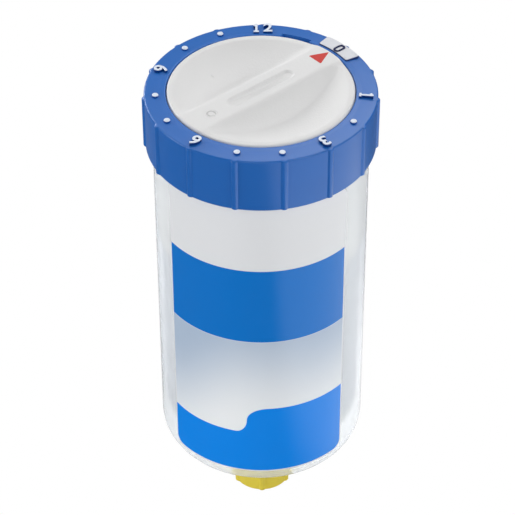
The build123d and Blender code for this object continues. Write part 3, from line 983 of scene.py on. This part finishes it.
    def numeral(
        self, text: str, place: float, base: float, tag: Tag, material: bpy.types.Material
    ) -> bpy.types.Object:
        """Raise a numeral on the ring with its top outwards.

        Args:
            text: The digits.
            place: Its bearing in degrees.
            base: The height it stands on.
            tag: What the piece is.
            material: Its finish.

        Returns:
            The piece.
        """
        at = math.radians(place)
        spot = Vector((math.sin(at), math.cos(at), 0)) * self.mark_radius * MM
        spot.z = (base + self.numeral_rise / 2 - self.numeral_sink) * MM
        work = bmesh.new()
        for k, digit in enumerate(text):
            glyph = self.glyph(digit)
            shift = (k - (len(text) - 1) / 2) * self.digit_pitch * self.numeral_size * MM
            glyph.transform(Matrix.Translation((shift, 0, 0)))
            work.from_mesh(glyph)
        mesh = bpy.data.meshes.new(tag.name)
        work.to_mesh(mesh)
        work.free()
        mesh.transform(Matrix.Translation(spot) @ Matrix.Rotation(-at, 4, "Z"))
        return settle(mesh, tag, material)

    def flag_skin(self) -> Skin:
        """Work out the flag: an outline with round corners, drawn in over a soft edge.

        The outline is drawn flat, shrunk about its middle step by step, and bent round the axis.

        Returns:
            The flag's surface.
        """
        (inner, outer), (first, last), corner = self.flag_radii, self.flag, self.flag_corner
        middle, wide = (inner + outer) / 2, (outer - inner) / 2
        half = math.radians(last - first) / 2 * middle
        quarter = np.linspace(0, math.pi / 2, 6)
        line = np.concatenate([
            np.stack([side * (half - corner) + corner * np.cos(quarter + start),
                      end * (wide - corner) + corner * np.sin(quarter + start)], -1)
            for side, end, start in ((1, 1, 0), (-1, 1, math.pi / 2), (-1, -1, math.pi),
                                     (1, -1, 3 * math.pi / 2))
        ])
        runs = np.linalg.norm(np.roll(line, -1, axis=0) - line, axis=1)
        line = divided(line, np.where(runs > 1, 24, 1))
        inset, rise = np.array(self.flag_steps).T[..., None]
        along = line[:, 0] * (1 - inset * np.where(inset < 0.5, wide / half, 1.0))
        radius = middle + line[:, 1] * (1 - inset)
        height = self.top - self.flag_root + (self.flag_root + self.flag_rise) * rise
        profile = np.stack([radius, np.broadcast_to(height, radius.shape)], -1)
        return Skin().add(turned(profile, math.radians((first + last) / 2) + along / middle))

    def build(self) -> None:
        """Make the ring, its marks and the flag."""
        top, flag_top = self.top, self.top + self.flag_rise
        numeral_top = top + self.numeral_rise - self.numeral_sink
        blue = Moulding("ring_blue", srgb(22, 101, 186), rough=0.3, cloud=0.03, shine=0.5,
                        grain=Surface.POLISHED)
        # painted shade: the numerals' sides are a navy far darker than the ring's own blue, so they
        # look shaded below their printed tops
        marks = Stamped("ring_marks_painted_shade", srgb(6, 58, 130), rough=0.36, cloud=0.03, shine=0.3,
                        height=numeral_top - self.numeral_print).make()
        # painted shade: the dots' sides are a darker blue than the ring, standing in for their
        # shade below the printed tops
        studs = Stamped("ring_studs_painted_shade", srgb(8, 76, 160), rough=0.36, cloud=0.03, shine=0.3,
                        height=top + self.dot_height - self.dot_print)
        # painted shade: the flag's sides are navy, standing in for the shadow along its edges; only
        # its top is white
        white = Stamped("flag_white_painted_shade", srgb(26, 52, 112), rough=0.4, top=srgb(218, 220, 226),
                        height=flag_top - self.flag_print)
        navy = Moulding("flag_navy", srgb(14, 26, 74), rough=0.45, shine=0.2)
        ring = Tag("grip_ring_body", Body.HOUSING, "blue_moulding", ("grip_ring",), 32.0)
        self.shell().build(ring, blue.make())
        self.dot_skin().build(Tag("ring_dots", Body.HOUSING, "blue_moulding"), studs.make())
        for text, place in self.numerals:
            tag = Tag(f"ring_numeral_{text}", Body.HOUSING, "blue_moulding", sharp=30.0)
            self.numeral(text, self.ribs.bearing(place), top, tag, marks)
        flag = Tag("zero_flag_plate", Body.HOUSING, "white_moulding", ("zero_flag",), 40.0)
        self.flag_skin().build(flag, white.make())
        tag = Tag("flag_numeral_0", Body.HOUSING, "white_moulding", sharp=30.0)
        place = self.ribs.bearing(self.zero_place) + self.zero_turn
        self.numeral("0", place, flag_top - self.zero_sink, tag, navy.make())


# ------------------------------------------------------------------ selector dial
@dataclass
class SelectorDial:
    """The dished dial with its crowned grip bar, coin slot, arrow and small ring mark.

    Places on its face are u along the bar, towards the arrow, and v across it.
    """

    radius: float = 21.4
    rim: float = 103.36
    rim_blend: float = 0.25
    dish: float = 20.0
    dish_depth: float = 4.6
    edge: float = 0.35
    crest: float = 103.83
    crest_fall: float = 0.12
    bearing: float = 48.9
    half_width: float = 4.0
    end_half_width: float = 3.0
    draft: float = 36.0
    bar_edge: float = 1.9
    foot_blend: float = 3.6
    end_blend: float = 0.6
    slot_length: float = 18.6
    slot_width: float = 2.4
    slot_depth: float = 1.0
    slot_rise: float = 0.6
    slot_lip: float = 0.55
    slot_heel: float = 0.35
    slot_floor: float = -0.75
    slot_crowd: float = 1.35  # how fast the columns leave the slot's middle
    slot_fan: float = 0.74  # how far along the slot they still leave it sideways
    face_rows: int = 112
    wide_rows: Triple = (1.6, 0.16, 0.13)  # how much farther apart rows lie, where and how near
    rim_rows: Pair = (2.0, 0.965)  # how much farther apart, and from where to the rim
    columns: int = 600
    side_from: float = 97.5
    underside: float = 96.5
    under_edge: float = 0.2
    hollow_edges: Pair = (0.1, 0.2)  # at its mouth and at its roof
    hollow: Pair = (19.9, 100.86)  # radius and height of each step underneath
    hollow_inner: Pair = (12.5, 98.23)
    stem: Pair = (4.0, 92.55)
    tail: Pair = (3.6, 91.65)
    mark_place: float = -14.85
    mark_pocket: Triple = (1.45, 0.15, 0.45)  # radius, width of its wall and depth
    mark_rim: tuple[float, ...] = (1.58, 1.5, 1.42, 1.3, 1.2)  # radii of its rows, from its edge in
    mark_rows: tuple[tuple[float, float, int], ...] = ((1.16, 0.7, 12), (0.6, 0.0, 5))
    mark_groove: Triple = (0.93, 0.23, 0.34)  # radius, half width and depth
    mark_edge: Triple = (1.42, 0.16, 0.25)  # where it starts, its width and its fall
    mark_rise: float = 0.004
    dimple: Pair = (-3.05, 13.6)
    dimple_shape: Triple = (0.5, 0.25, 0.22)  # radius, width of its wall and depth
    arrow_base: float = 16.45
    arrow_tip: float = 20.95
    arrow_half: float = 2.1
    arrow_corners: Triple = (0.12, 0.2, 0.2)
    # the share of the outline that is kept, and its rise over the bar
    arrow_steps: tuple[Pair, ...] = (
        (1.0, -0.3), (1.0, -0.02), (0.985, 0.012), (0.95, 0.02), (0.6, 0.02), (0.3, 0.02),
        (0.0, 0.02),
    )

    def slot_distance(self, u: np.ndarray, v: np.ndarray) -> np.ndarray:
        """Give the distance outside the slot's outline, a line with round ends."""
        run = np.maximum(np.abs(u) - (self.slot_length - self.slot_width) / 2, 0)
        return np.hypot(run, v) - self.slot_width / 2

    def bare_height(self, u: np.ndarray, v: np.ndarray) -> np.ndarray:
        """Give the height of the dial's face with no slot.

        The dish is a ball's cap. The bar is a crowned top that falls through a circular edge
        to drafted flanks, whose outline is a lens. The two join in a soft fillet.

        Args:
            u: Places along the bar.
            v: Places across it.

        Returns:
            The heights.
        """
        r = np.hypot(u, v)
        ball = (self.dish**2 + self.dish_depth**2) / (2 * self.dish_depth)
        cup = self.rim - self.dish_depth + ball - np.sqrt(np.maximum(ball**2 - r**2, 0))
        dish = -soft_max(-cup, np.full_like(cup, -self.rim), self.rim_blend)
        along = (u / self.radius) ** 2
        top = self.crest - self.crest_fall * along
        slope = 1 / math.tan(math.radians(self.draft))
        half = self.half_width - (self.half_width - self.end_half_width) * along
        turn = math.radians(90 - self.draft)
        past = np.abs(v) - (half - self.bar_edge * math.tan(turn / 2))
        bend = self.bar_edge * math.sin(turn)
        arc = top - self.bar_edge + np.sqrt(np.maximum(self.bar_edge**2 - past**2, 0))
        flank = top - self.bar_edge * (1 - math.cos(turn)) - (past - bend) * slope
        bar = np.where(past <= 0, top, np.where(past < bend, arc, flank))
        face = soft_max(dish, bar, self.foot_blend)
        face = -soft_max(-face, -soft_max(top, dish, self.end_blend), self.end_blend)
        near = np.clip(r - (self.radius - self.edge), 0, self.edge)
        return face - self.edge + np.sqrt(self.edge**2 - near**2)

    def height(self, u: np.ndarray, v: np.ndarray) -> np.ndarray:
        """Give the face's height with its slot.

        The slot's wall falls in a smooth S from the lip to the heel, and is deepest half way
        along the slot.

        Args:
            u: Places along the bar.
            v: Places across it.

        Returns:
            The heights.
        """
        reach = (self.slot_lip - self.slot_distance(u, v)) / (self.slot_lip + self.slot_heel)
        reach = np.clip(reach, 0, 1)
        depth = self.slot_depth - self.slot_rise * (2 * u / self.slot_length) ** 2
        return self.bare_height(u, v) - depth * reach**2 * (3 - 2 * reach)

    def place(self, u: np.ndarray, v: np.ndarray, z: np.ndarray) -> np.ndarray:
        """Turn places on the face into points of the object.

        Args:
            u: Places along the bar.
            v: Places across it.
            z: Their heights.

        Returns:
            The points.
        """
        at = math.radians(self.bearing)
        x = u * math.sin(at) - v * math.cos(at)
        y = u * math.cos(at) + v * math.sin(at)
        return np.stack([x, y, np.broadcast_to(z, x.shape)], -1)

    def face_grid(self) -> tuple[np.ndarray, np.ndarray]:
        """Lay the face out in rings that grow from the slot's outline to the dial's edge.

        A ring's share of the way out is a running sum of weights. They are 1, more near the
        bar's feet and most at the rim, where the rings lie farthest apart.

        Returns:
            Places along and across the bar, rows by columns, from the rim inwards.
        """
        phi = whole_turn(self.columns)
        rim, flat = np.stack([np.cos(phi), np.sin(phi)], -1), np.zeros_like(phi)
        run = (self.slot_length - self.slot_width) / 2
        # the outline's own angle: even along its straight sides and round its ends
        ends = np.stack([np.clip(np.cos(phi) * self.slot_crowd, -1, 1) * run, flat], -1)
        lean = rim - np.stack([np.clip(np.cos(phi), -self.slot_fan, self.slot_fan), flat], -1)
        lean = lean / np.linalg.norm(lean, axis=1, keepdims=True)
        offsets = np.concatenate([[-self.slot_width / 2, self.slot_floor],
                                  np.linspace(-self.slot_heel, self.slot_lip, 17)])
        inner = ends + lean * (self.slot_width / 2 + offsets[:, None, None])
        t = np.linspace(0, 1, self.face_rows)
        (gain, at, near), (rim_gain, rim_from) = self.wide_rows, self.rim_rows
        gaps = 1 + gain * np.exp(-(((t - at) / near) ** 2)) + rim_gain * (t > rim_from)
        out = np.cumsum(gaps)
        t = ((out - out[0]) / (out[-1] - out[0]))[1:, None, None]
        outer = inner[-1] * (1 - t) + rim * self.radius * t
        both = np.concatenate([inner, outer])[::-1]
        return both[..., 0], both[..., 1]

    def shell(self) -> Skin:
        """Work out the whole dial: face, edge, hollow underside and stem.

        Returns:
            The dial's surface.
        """
        u, v = self.face_grid()
        z = self.height(u, v)
        sunk = (((self.mark_place, 0.0), self.mark_pocket), (self.dimple, self.dimple_shape))
        for (along, across), (radius, wall, depth) in sunk:
            around = np.hypot(u - along, v - across)
            z = z - depth * np.clip((radius - around) / wall, 0, 1)
        face = self.place(u, v, z)
        (wide, roof), (narrow, inner_roof) = self.hollow, self.hollow_inner
        (stem, step), (tail, end), (mouth, deep) = self.stem, self.tail, self.hollow_edges
        below = rounded(
            [
                (self.radius, self.side_from, 0),
                (self.radius, self.underside, self.under_edge),
                (wide, self.underside, mouth),
                (wide, roof, deep),
                (narrow, inner_roof, deep),
                (narrow, self.underside, mouth),
                (stem, self.underside, 0),
                (stem, step, 0),
                (tail, step, 0),
                (tail, end, 0),
                (0.0, end, 0),
            ],
            steps=4,
        )
        phi = whole_turn(self.columns)
        ring = self.place(below[:, :1] * np.cos(phi), below[:, :1] * np.sin(phi), below[:, 1:])
        return Skin().add(np.concatenate([face[::-1], ring]))

    def mark_skin(self) -> Skin:
        """Work out the ring mark: a small disc flush with the bar.

        Its groove is a parabola across, and its edge falls off straight.

        Returns:
            The mark's surface.
        """
        radii = np.concatenate([self.mark_rim, *(np.linspace(*rows) for rows in self.mark_rows)])
        phi = whole_turn(48)
        u = self.mark_place + radii[:, None] * np.cos(phi)
        v = radii[:, None] * np.sin(phi)
        (middle, half, deep), (start, wide, fall) = self.mark_groove, self.mark_edge
        groove = deep * np.clip(1 - ((radii - middle) / half) ** 2, 0, 1)
        edge = fall * np.clip((radii - start) / wide, 0, 1)
        z = self.bare_height(u, v) - (groove + edge)[:, None] + self.mark_rise
        return Skin().add(self.place(u, v, z))

    def arrow_skin(self) -> Skin:
        """Work out the arrow: a rounded triangle that lies just proud of the bar's end.

        The outline shrinks about its middle step by step as it rises.

        Returns:
            The arrow's surface.
        """
        corners = np.array([[self.arrow_tip, 0.0], [self.arrow_base, self.arrow_half],
                            [self.arrow_base, -self.arrow_half]])
        seam = (*(corners[0] + corners[2]) / 2, 0)
        bends = [(*spot, fillet) for spot, fillet in zip(corners, self.arrow_corners)]
        line = rounded([seam, *bends, seam], steps=5)[:-1]
        line = divided(line, np.full(len(line), 5))
        keep, rise = np.array(self.arrow_steps).T[..., None]
        middle = corners.mean(axis=0)
        u, v = (middle[k] + (line[:, k] - middle[k]) * keep for k in (0, 1))
        return Skin().add(self.place(u, v, self.bare_height(u, v) + rise))

    def build(self) -> None:
        """Make the dial and what is on its face."""
        grey = Moulding("dial_grey", srgb(228, 228, 228), rough=0.5, grain=Surface.SPARKED,
                        cloud=0.015, shine=0.3, glow_through=0.6).make()
        red = Moulding("arrow_red", srgb(208, 62, 54), rough=0.42, cloud=0.06, shine=0.25)
        dial = Tag("dial_body", Body.DIAL, "dial_moulding", ("selector_dial",), 50.0)
        mark = Tag("dial_ring_mark", Body.DIAL, "dial_moulding", sharp=60.0)
        arrow = Tag("dial_arrow_inlay", Body.DIAL, "red_inlay", ("dial_arrow",), 40.0)
        self.shell().build(dial, grey)
        self.mark_skin().build(mark, grey)
        self.arrow_skin().build(arrow, red.make())


# ------------------------------------------------------------------ container
@dataclass
class Container:
    """The clear container with its threaded neck, the charge in it and the printed label."""

    radius: float = 25.0
    bore: float = 23.8
    spigot: float = 24.6
    spigot_from: float = 89.02
    top: float = 97.5
    top_edge: float = 0.15
    step_edges: Pair = (0.1, 0.12)
    corner: float = 6.3
    inner_corner: float = 10.0
    shoulder: float = 13.7
    floor: float = 2.4
    floor_edge: float = 0.4
    fall: float = 1.3
    neck: float = 6.54
    neck_root: float = 7.06
    neck_length: float = 15.0
    neck_taper: Triple = (1.2, 0.8, 0.5)  # height above the end, length and depth
    neck_chamfer: Pair = (0.28, 0.2)
    outlet: float = 3.0
    outlet_edge: float = 0.2
    thread_rows: int = 150
    thread_pitch: float = 1.337
    thread_depth: float = 0.8
    thread_tooth: Pair = (2.6, 0.3)  # how steep its flanks are, and how wide its crest
    thread_start: Pair = (0.6, 1.0)  # distance from the neck's end, and length of the fade
    thread_end: Pair = (0.8, 0.8)
    thread_stop: float = 0.4
    charge_gap: float = 0.05
    charge_foot: float = -14.8
    charge_step: float = 0.15
    wet: float = 0.02
    nose_top: float = 62.3
    nose_gap: float = 0.25
    label: LabelSize = LabelSize()

    def neck_grid(self, bearings: np.ndarray) -> np.ndarray:
        """Work out the thread: the neck's radius falls and rises with height plus turn.

        Args:
            bearings: The columns' bearings in radians.

        Returns:
            (radius, height) for each row and column, from the top of the neck down.
        """
        end = self.neck_length
        z = np.linspace(0.0, -end + self.thread_stop, self.thread_rows)[:, None]
        phase = (z / self.thread_pitch + bearings[None] / (2 * math.pi)) % 1.0
        steep, crest = self.thread_tooth
        tooth = np.clip(np.abs(phase - 0.5) * steep - crest, 0, 1)
        (first, fade_in), (last, fade_out) = self.thread_start, self.thread_end
        tooth = tooth * np.clip((-first - z) / fade_in, 0, 1)
        tooth = tooth * np.clip((z + end - last) / fade_out, 0, 1)
        start, over, fall = self.neck_taper
        radius = self.neck - self.thread_depth * tooth
        radius = radius - fall * np.clip((-z - end + start) / over, 0, 1)
        return np.stack([radius, np.broadcast_to(z, radius.shape)], -1)

    def bowl(self, wall: float, shoulder: float) -> np.ndarray:
        """Give the round corner from the floor's edge up to the wall, as a quarter circle."""
        turn, corner = np.linspace(0, math.pi / 2, 22), self.inner_corner
        return np.stack([wall - corner + corner * np.sin(turn),
                         shoulder - corner * np.cos(turn)], -1)

    def shell(self) -> Skin:
        """Work out the container: outside down to the thread, up the bore, floor and wall.

        Returns:
            The container's surface.
        """
        bearings, end = whole_turn(192), -self.neck_length
        neck_end, (narrowed, chamfer) = self.neck - self.neck_taper[2], self.neck_chamfer
        outside = rounded(
            [
                (self.bore, self.top, 0),
                (self.spigot, self.top, self.top_edge),
                (self.spigot, self.spigot_from, self.step_edges[0]),
                (self.radius, self.spigot_from, self.step_edges[1]),
                (self.radius, 0.0, self.corner),
                (self.neck_root, 0.0, 0),
                (self.neck, 0.0, 0),
            ],
            steps=12,
        )
        inside = rounded(
            [
                (neck_end, end + chamfer, 0),
                (neck_end - narrowed, end, 0),
                (self.outlet, end, self.outlet_edge),
                (self.outlet, self.floor, self.floor_edge),
                (self.bore - self.inner_corner, self.floor + self.fall, 0),
            ],
            steps=5,
        )
        parts = [outside, self.neck_grid(bearings), inside, self.bowl(self.bore, self.shoulder),
                 np.array([[self.bore, self.top]])]
        grid = [part if part.ndim == 3 else spread(part, len(bearings)) for part in parts]
        return Skin().add(turned(np.concatenate(grid), bearings))

    def charge_skin(self) -> Skin:
        """Work out the charge: bowl-shaped below, hollowed above by the piston's nose.

        Returns:
            The charge's surface.
        """
        wall, neck = self.bore - self.charge_gap, self.outlet - self.charge_gap
        high = self.bowl(self.bore - self.nose_gap, self.nose_top)[::-1]
        roof = high[-1, 1] - self.fall
        foot, mouth = self.charge_foot, self.floor + self.charge_gap
        profile = np.concatenate([
            [[0.0, foot], [neck, foot], [neck, mouth]],
            self.bowl(self.bore + self.wet, self.shoulder),
            [[wall, self.shoulder + self.charge_step], [wall, self.nose_top]],
            high,
            [[neck, roof], [0.0, roof]],
        ])
        return Skin().add(turned(profile, whole_turn(160)))

    def label_skin(self) -> Skin:
        """Work out the label: a thin curved sheet with round corners and closed edges.

        At a distance d from its side, less than the corner's radius R, the sheet's end is drawn
        in by R - sqrt(R^2 - (R - d)^2).

        Returns:
            The label's surface.
        """
        size = self.label
        first, last = (math.radians(b) for b in size.bearings)
        low, high = size.heights
        round_off = size.corner / size.radius
        lead = round_off * (1 - np.cos(np.linspace(0, math.pi / 2, 14)))
        middle = np.linspace(first + round_off, last - round_off, 81)[1:-1]
        bearings = np.concatenate([first + lead, middle, last - lead[::-1]])
        near = np.minimum(bearings - first, last - bearings) * size.radius
        short = np.maximum(size.corner - near, 0)
        inset = size.corner - np.sqrt(np.maximum(size.corner**2 - short**2, 0))
        share = np.linspace(0, 1, 29)[:, None]
        height = (high - inset) * (1 - share) + (low + inset) * share
        front, back = (
            turned(np.stack([np.full_like(height, radius), height], -1), bearings)
            for radius in (size.radius, size.radius - size.thickness)
        )
        skin = Skin().add(front, False).add(back, False)
        for edge in (np.s_[0], np.s_[-1], np.s_[:, 0], np.s_[:, -1]):
            skin.add(np.stack([front[edge], back[edge]]), False)
        return skin

    def build(self) -> None:
        """Make the container, the charge and the label."""
        wall = ClearWall("clear_wall", srgb(238, 241, 245), 1.02)
        grease = Moulding("pale_grease", srgb(214, 216, 215), rough=0.18, cloud=0.02, shine=0.9,
                          glow_through=0.3)
        shell = Tag("container_shell", Body.HOUSING, "clear_wall", ("container",), 38.0)
        oil = Tag("oil_body", None, "oil", ("oil_charge",), 38.0)
        film = Tag("label_film", Body.HOUSING, "label_print", ("label",), 60.0)
        self.shell().build(shell, wall.make())
        charge = self.charge_skin().build(oil, grease.make())
        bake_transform(charge)
        self.label_skin().build(film, Print(size=self.label).make())


# ------------------------------------------------------------------ white walls
@dataclass
class WhiteWalls:
    """The outer walls of the drive housing and the piston, wet against the clear wall."""

    radius: float = 23.82
    inside: float = 23.2
    edge: float = 0.06
    inner_edge: float = 0.1
    housing: Pair = (76.04, 97.3)
    piston: Pair = (62.6, 76.0)

    def sleeve(self, low: float, high: float) -> Skin:
        """Work out one wall as a turned ring with round edges.

        Args:
            low: The height of its lower end.
            high: The height of its upper end.

        Returns:
            The wall's surface.
        """
        profile = rounded([
            (self.inside, (low + high) / 2, 0),
            (self.inside, low, self.inner_edge),
            (self.radius, low, self.edge),
            (self.radius, high, self.edge),
            (self.inside, high, self.inner_edge),
            (self.inside, (low + high) / 2, 0),
        ])
        return Skin().add(turned(profile, whole_turn(192)))

    def build(self) -> None:
        """Make both walls."""
        white = Moulding("wall_white", srgb(222, 222, 219), rough=0.45, cloud=0.02).make()
        housing = Tag("housing_outer_wall", Body.HOUSING, "white_moulding")
        piston = Tag("piston_outer_wall", Body.PISTON, "piston_moulding")
        self.sleeve(*self.housing).build(housing, white)
        self.sleeve(*self.piston).build(piston, white)


# ------------------------------------------------------------------ outlet cap
@dataclass
class OutletCap:
    """The yellow ribbed screw cap over the neck."""

    ribs: Ribs = Ribs(wall=7.3, count=6, radius=0.9, height=0.45, first=180.0,
                      reach=math.degrees(0.2), close=25, apart=8, foot=0.12)
    top: float = -0.8
    bottom: float = -18.7
    bore: float = 6.65
    floor: float = -16.05
    edge: float = 0.4
    floor_edge: float = 0.2
    mouth_edges: Pair = (0.1, 0.2)

    def shell(self) -> Skin:
        """Work out the cap: a cup whose outside swells into six rods.

        Returns:
            The cap's surface.
        """
        wall, (inner, outer) = self.ribs.wall, self.mouth_edges
        profile = rounded(
            [
                (0.0, self.floor, 0),
                (self.bore, self.floor, self.floor_edge),
                (self.bore, self.top, inner),
                (wall, self.top, outer),
                (wall, self.bottom, self.edge),
                (0.0, self.bottom, 0),
            ],
            steps=8,
        )
        radius = profile[:, 0]
        share = np.clip((radius - wall + self.edge) / self.edge, 0, 1)
        share = np.where(radius < (self.bore + wall) / 2, 0, share)
        bearings = np.sort(self.ribs.columns())
        return Skin().add(turned(self.ribs.swell(profile, share, bearings), np.radians(bearings)))

    def build(self) -> None:
        """Make the cap."""
        yellow = Moulding("cap_yellow", srgb(236, 216, 70), rough=0.38, glow_through=0.15)
        cap = Tag("cap_body", Body.CAP, "yellow_moulding", ("outlet_cap",), 40.0)
        self.shell().build(cap, yellow.make())


# ------------------------------------------------------------------ inner solids
@dataclass
class Works:
    """The solids kept as they are, each with its own finish."""

    finishes: tuple[tuple[Union[Moulding, Metal], tuple[str, ...]], ...] = (
        (Moulding("housing_white", srgb(226, 228, 231), rough=0.42), ("drive_housing", "piston")),
        (Moulding("seal_rubber", srgb(38, 38, 40), rough=0.6, cloud=0.08),
         ("housing_seal", "stem_seal", "port_seals", "piston_seals")),
        (Moulding("cap_seal_pale", srgb(206, 206, 200), rough=0.6), ("cap_seal",)),
        (Moulding("carrier_grey", srgb(118, 124, 130), rough=0.5, grain=Surface.SPARKED),
         ("cell_carrier", "drive_cover")),
        (Moulding("board_green", srgb(24, 96, 58), rough=0.3, coat=0.3), ("circuit_board",)),
        (Moulding("chip_black", srgb(28, 28, 30), rough=0.35), ("timing_resistors",)),
        (Metal("gold_contact", srgb(224, 178, 90), 0.25),
         ("contact_tracks", "contact_springs", "wiper")),
        (Metal("nickel_can", srgb(200, 200, 203), 0.28),
         ("gas_cells", "button_cells", "contact_strips")),
        (Metal("zinc_steel", srgb(182, 184, 190), 0.34), ("carrier_screws", "retaining_clip")),
    )

    def build(self) -> None:
        """Dress the kept solids."""
        for finish, nodes in self.finishes:
            material = finish.make()
            for name in nodes:
                wear(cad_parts[name].data, material)
                log.info("%s dressed in %s", name, material.name)


# ------------------------------------------------------------------ studio
@dataclass
class Studio:
    """A pale floor, soft lamps all round and the camera."""

    floor: float = -18.7
    floor_half: float = 3000.0
    floor_greys: tuple[Colour, Colour] = (srgb(228, 228, 228), srgb(232, 232, 232))
    floor_patches: float = 40.0
    floor_rough: float = 0.9
    lens: float = 161.9
    sensor: float = 36.0
    clip: Pair = (0.01, 10.0)
    target: Triple = (-0.93, 0.0, 53.45)
    distance: float = 556.7
    elevation: float = 40.01
    roll: float = -0.23
    fill: float = 0.09
    gloss: float = 0.3
    left_shade: float = 0.4
    left_over: Pair = (-0.1, 0.8)
    floor_glow: float = 0.62
    floor_fill: float = 0.12
    # how bright each side of the floor shines, and the distances over which it comes and goes
    right_floor: float = 1.45
    right_over: Pair = (18.0, 48.0)
    right_until: Pair = (30.0, 85.0)
    left_floor: float = 0.06
    left_floor_over: Pair = (36.0, 110.0)
    back_floor: float = 0.14
    back_over: Pair = (10.0, 90.0)
    near_floor: float = 0.3
    near_until: Pair = (32.0, 48.0)
    aim: Triple = (0.0, 0.0, 0.06)
    # each lamp's name, its place and width in metres, and its watts
    lamps: tuple[tuple[str, Triple, float, float], ...] = (
        ("lamp_back_right", (0.3, 0.65, 0.9), 0.8, 4.2),
        ("lamp_back_left", (-0.35, 0.5, 0.95), 0.7, 1.6),
        ("lamp_left_behind", (-0.6, 0.75, 0.45), 0.6, 4.7),
        ("lamp_left", (-0.9, -0.15, 0.2), 0.5, 3.2),
        ("lamp_front", (-0.1, -0.95, 0.55), 0.7, 2.0),
        ("lamp_front_right", (0.65, -0.65, 0.75), 0.6, 3.9),
        ("lamp_right_high", (0.85, 0.1, 0.75), 0.6, 1.6),
    )

    def backdrop(self) -> bpy.types.Material:
        """Make a floor that only lights the object: the camera and the lamps see through it.

        What shines in the object's plastic is bright to its right, dimmer to its left and dark
        in front of it.

        Returns:
            The floor's material.
        """
        dress = Dress.named("floor_white")
        path = dress.node("ShaderNodeLightPath", out="Is Glossy Ray")
        seen_in = 1.0 - (path.output("Transmission Depth") > 0.5)
        diffuse, gloss = path.output("Is Diffuse Ray") * seen_in, path * seen_in
        clear = path.output("Is Camera Ray") + path.output("Is Shadow Ray")
        x, y, _ = dress.axes()
        right = x.ramp(*self.right_over) * (1.0 - y.ramp(*self.right_until))
        near = 1.0 - (x * x + y * y).root().ramp(*self.near_until)
        sides = right * self.right_floor + (x * -1.0).ramp(*self.left_floor_over) * self.left_floor
        sides = sides + y.ramp(*self.back_over) * self.back_floor + near * self.near_floor
        level = gloss * sides + (1.0 - gloss - diffuse) * self.floor_glow
        grain = dress.mix(dress.noise(self.floor_patches, 3.0), *self.floor_greys)
        return dress.finish(
            Base_Color=dress.mix(gloss, grain, (0.0, 0.0, 0.0, 1.0)),
            Roughness=self.floor_rough,
            Specular_IOR_Level=0.0,
            Emission_Color=level + diffuse * self.floor_fill,
            Emission_Strength=1.0,
            Alpha=1.0 - clear,
        )

    def world(self) -> None:
        """Make an even pale surround, white to the camera and darker on the left in gloss."""
        world = bpy.data.worlds.new("studio")
        bpy.context.scene.world = world
        dress = Dress(world)
        path = dress.node("ShaderNodeLightPath", out="Is Camera Ray")
        glossy, through = path.output("Is Glossy Ray"), path.output("Is Transmission Ray")
        ahead = dress.node("ShaderNodeTexCoord", out="Generated")
        across = dress.node("ShaderNodeSeparateXYZ", inputs={0: ahead})
        shade = 1.0 - (across * -1.0).ramp(*self.left_over) * self.left_shade
        rest = 1.0 - path - glossy - through
        level = path + (glossy * self.gloss + through) * shade + rest * self.fill
        light = dress.node("ShaderNodeBackground", inputs={0: (1.0, 1.0, 1.0, 1.0), 1: level})
        dress.node("ShaderNodeOutputWorld", inputs={0: light})

    def lamp(self, name: str, place: Triple, size: float, power: float) -> None:
        """Hang a soft lamp that faces the object.

        Args:
            name: The lamp's name.
            place: Where it hangs, in metres.
            size: Its width in metres.
            power: Its power in watts.
        """
        light = bpy.data.lights.new(name, "AREA")
        light.shape, light.size, light.energy = "DISK", size, power
        lamp = stand(name, light)
        lamp.location = place
        aim = Vector(self.aim) - Vector(place)
        lamp.rotation_euler = aim.to_track_quat("-Z", "Y").to_euler()

    def camera(self) -> None:
        """Make the camera and aim it."""
        data = bpy.data.cameras.new("camera")
        data.lens, data.sensor_width = self.lens, self.sensor
        data.clip_start, data.clip_end = self.clip
        camera = stand("camera", data)
        rise = math.radians(self.elevation)
        back = Vector((0, -math.cos(rise), math.sin(rise)))
        camera.location = Vector(self.target) * MM + back * self.distance * MM
        aim = (-back).to_track_quat("-Z", "Y").to_matrix()
        roll = Matrix.Rotation(math.radians(self.roll), 3, "Z")
        camera.rotation_euler = (aim @ roll).to_euler()
        bpy.context.scene.camera = camera

    def build(self) -> None:
        """Set everything up."""
        x, y = np.meshgrid(*[np.linspace(-self.floor_half, self.floor_half, 3)] * 2)
        points = np.stack([x, y, np.full_like(x, self.floor)], -1)
        mesh = Skin().add(points, False).mesh("floor")
        wear(mesh, self.backdrop())
        stand("floor", mesh)
        self.world()
        for lamp in self.lamps:
            self.lamp(*lamp)
        self.camera()
        bpy.context.scene.view_settings.view_transform = "Standard"


def main() -> None:
    """Build every piece in order."""
    logging.basicConfig(level=logging.INFO, format="%(message)s")
    parts = (GripRing(), SelectorDial(), Container(), WhiteWalls(), OutletCap(), Works(), Studio())
    for part in parts:
        part.build()
        log.info("%s built", type(part).__name__)
    bpy.context.view_layer.update()


if __name__ == "__main__":
    main()
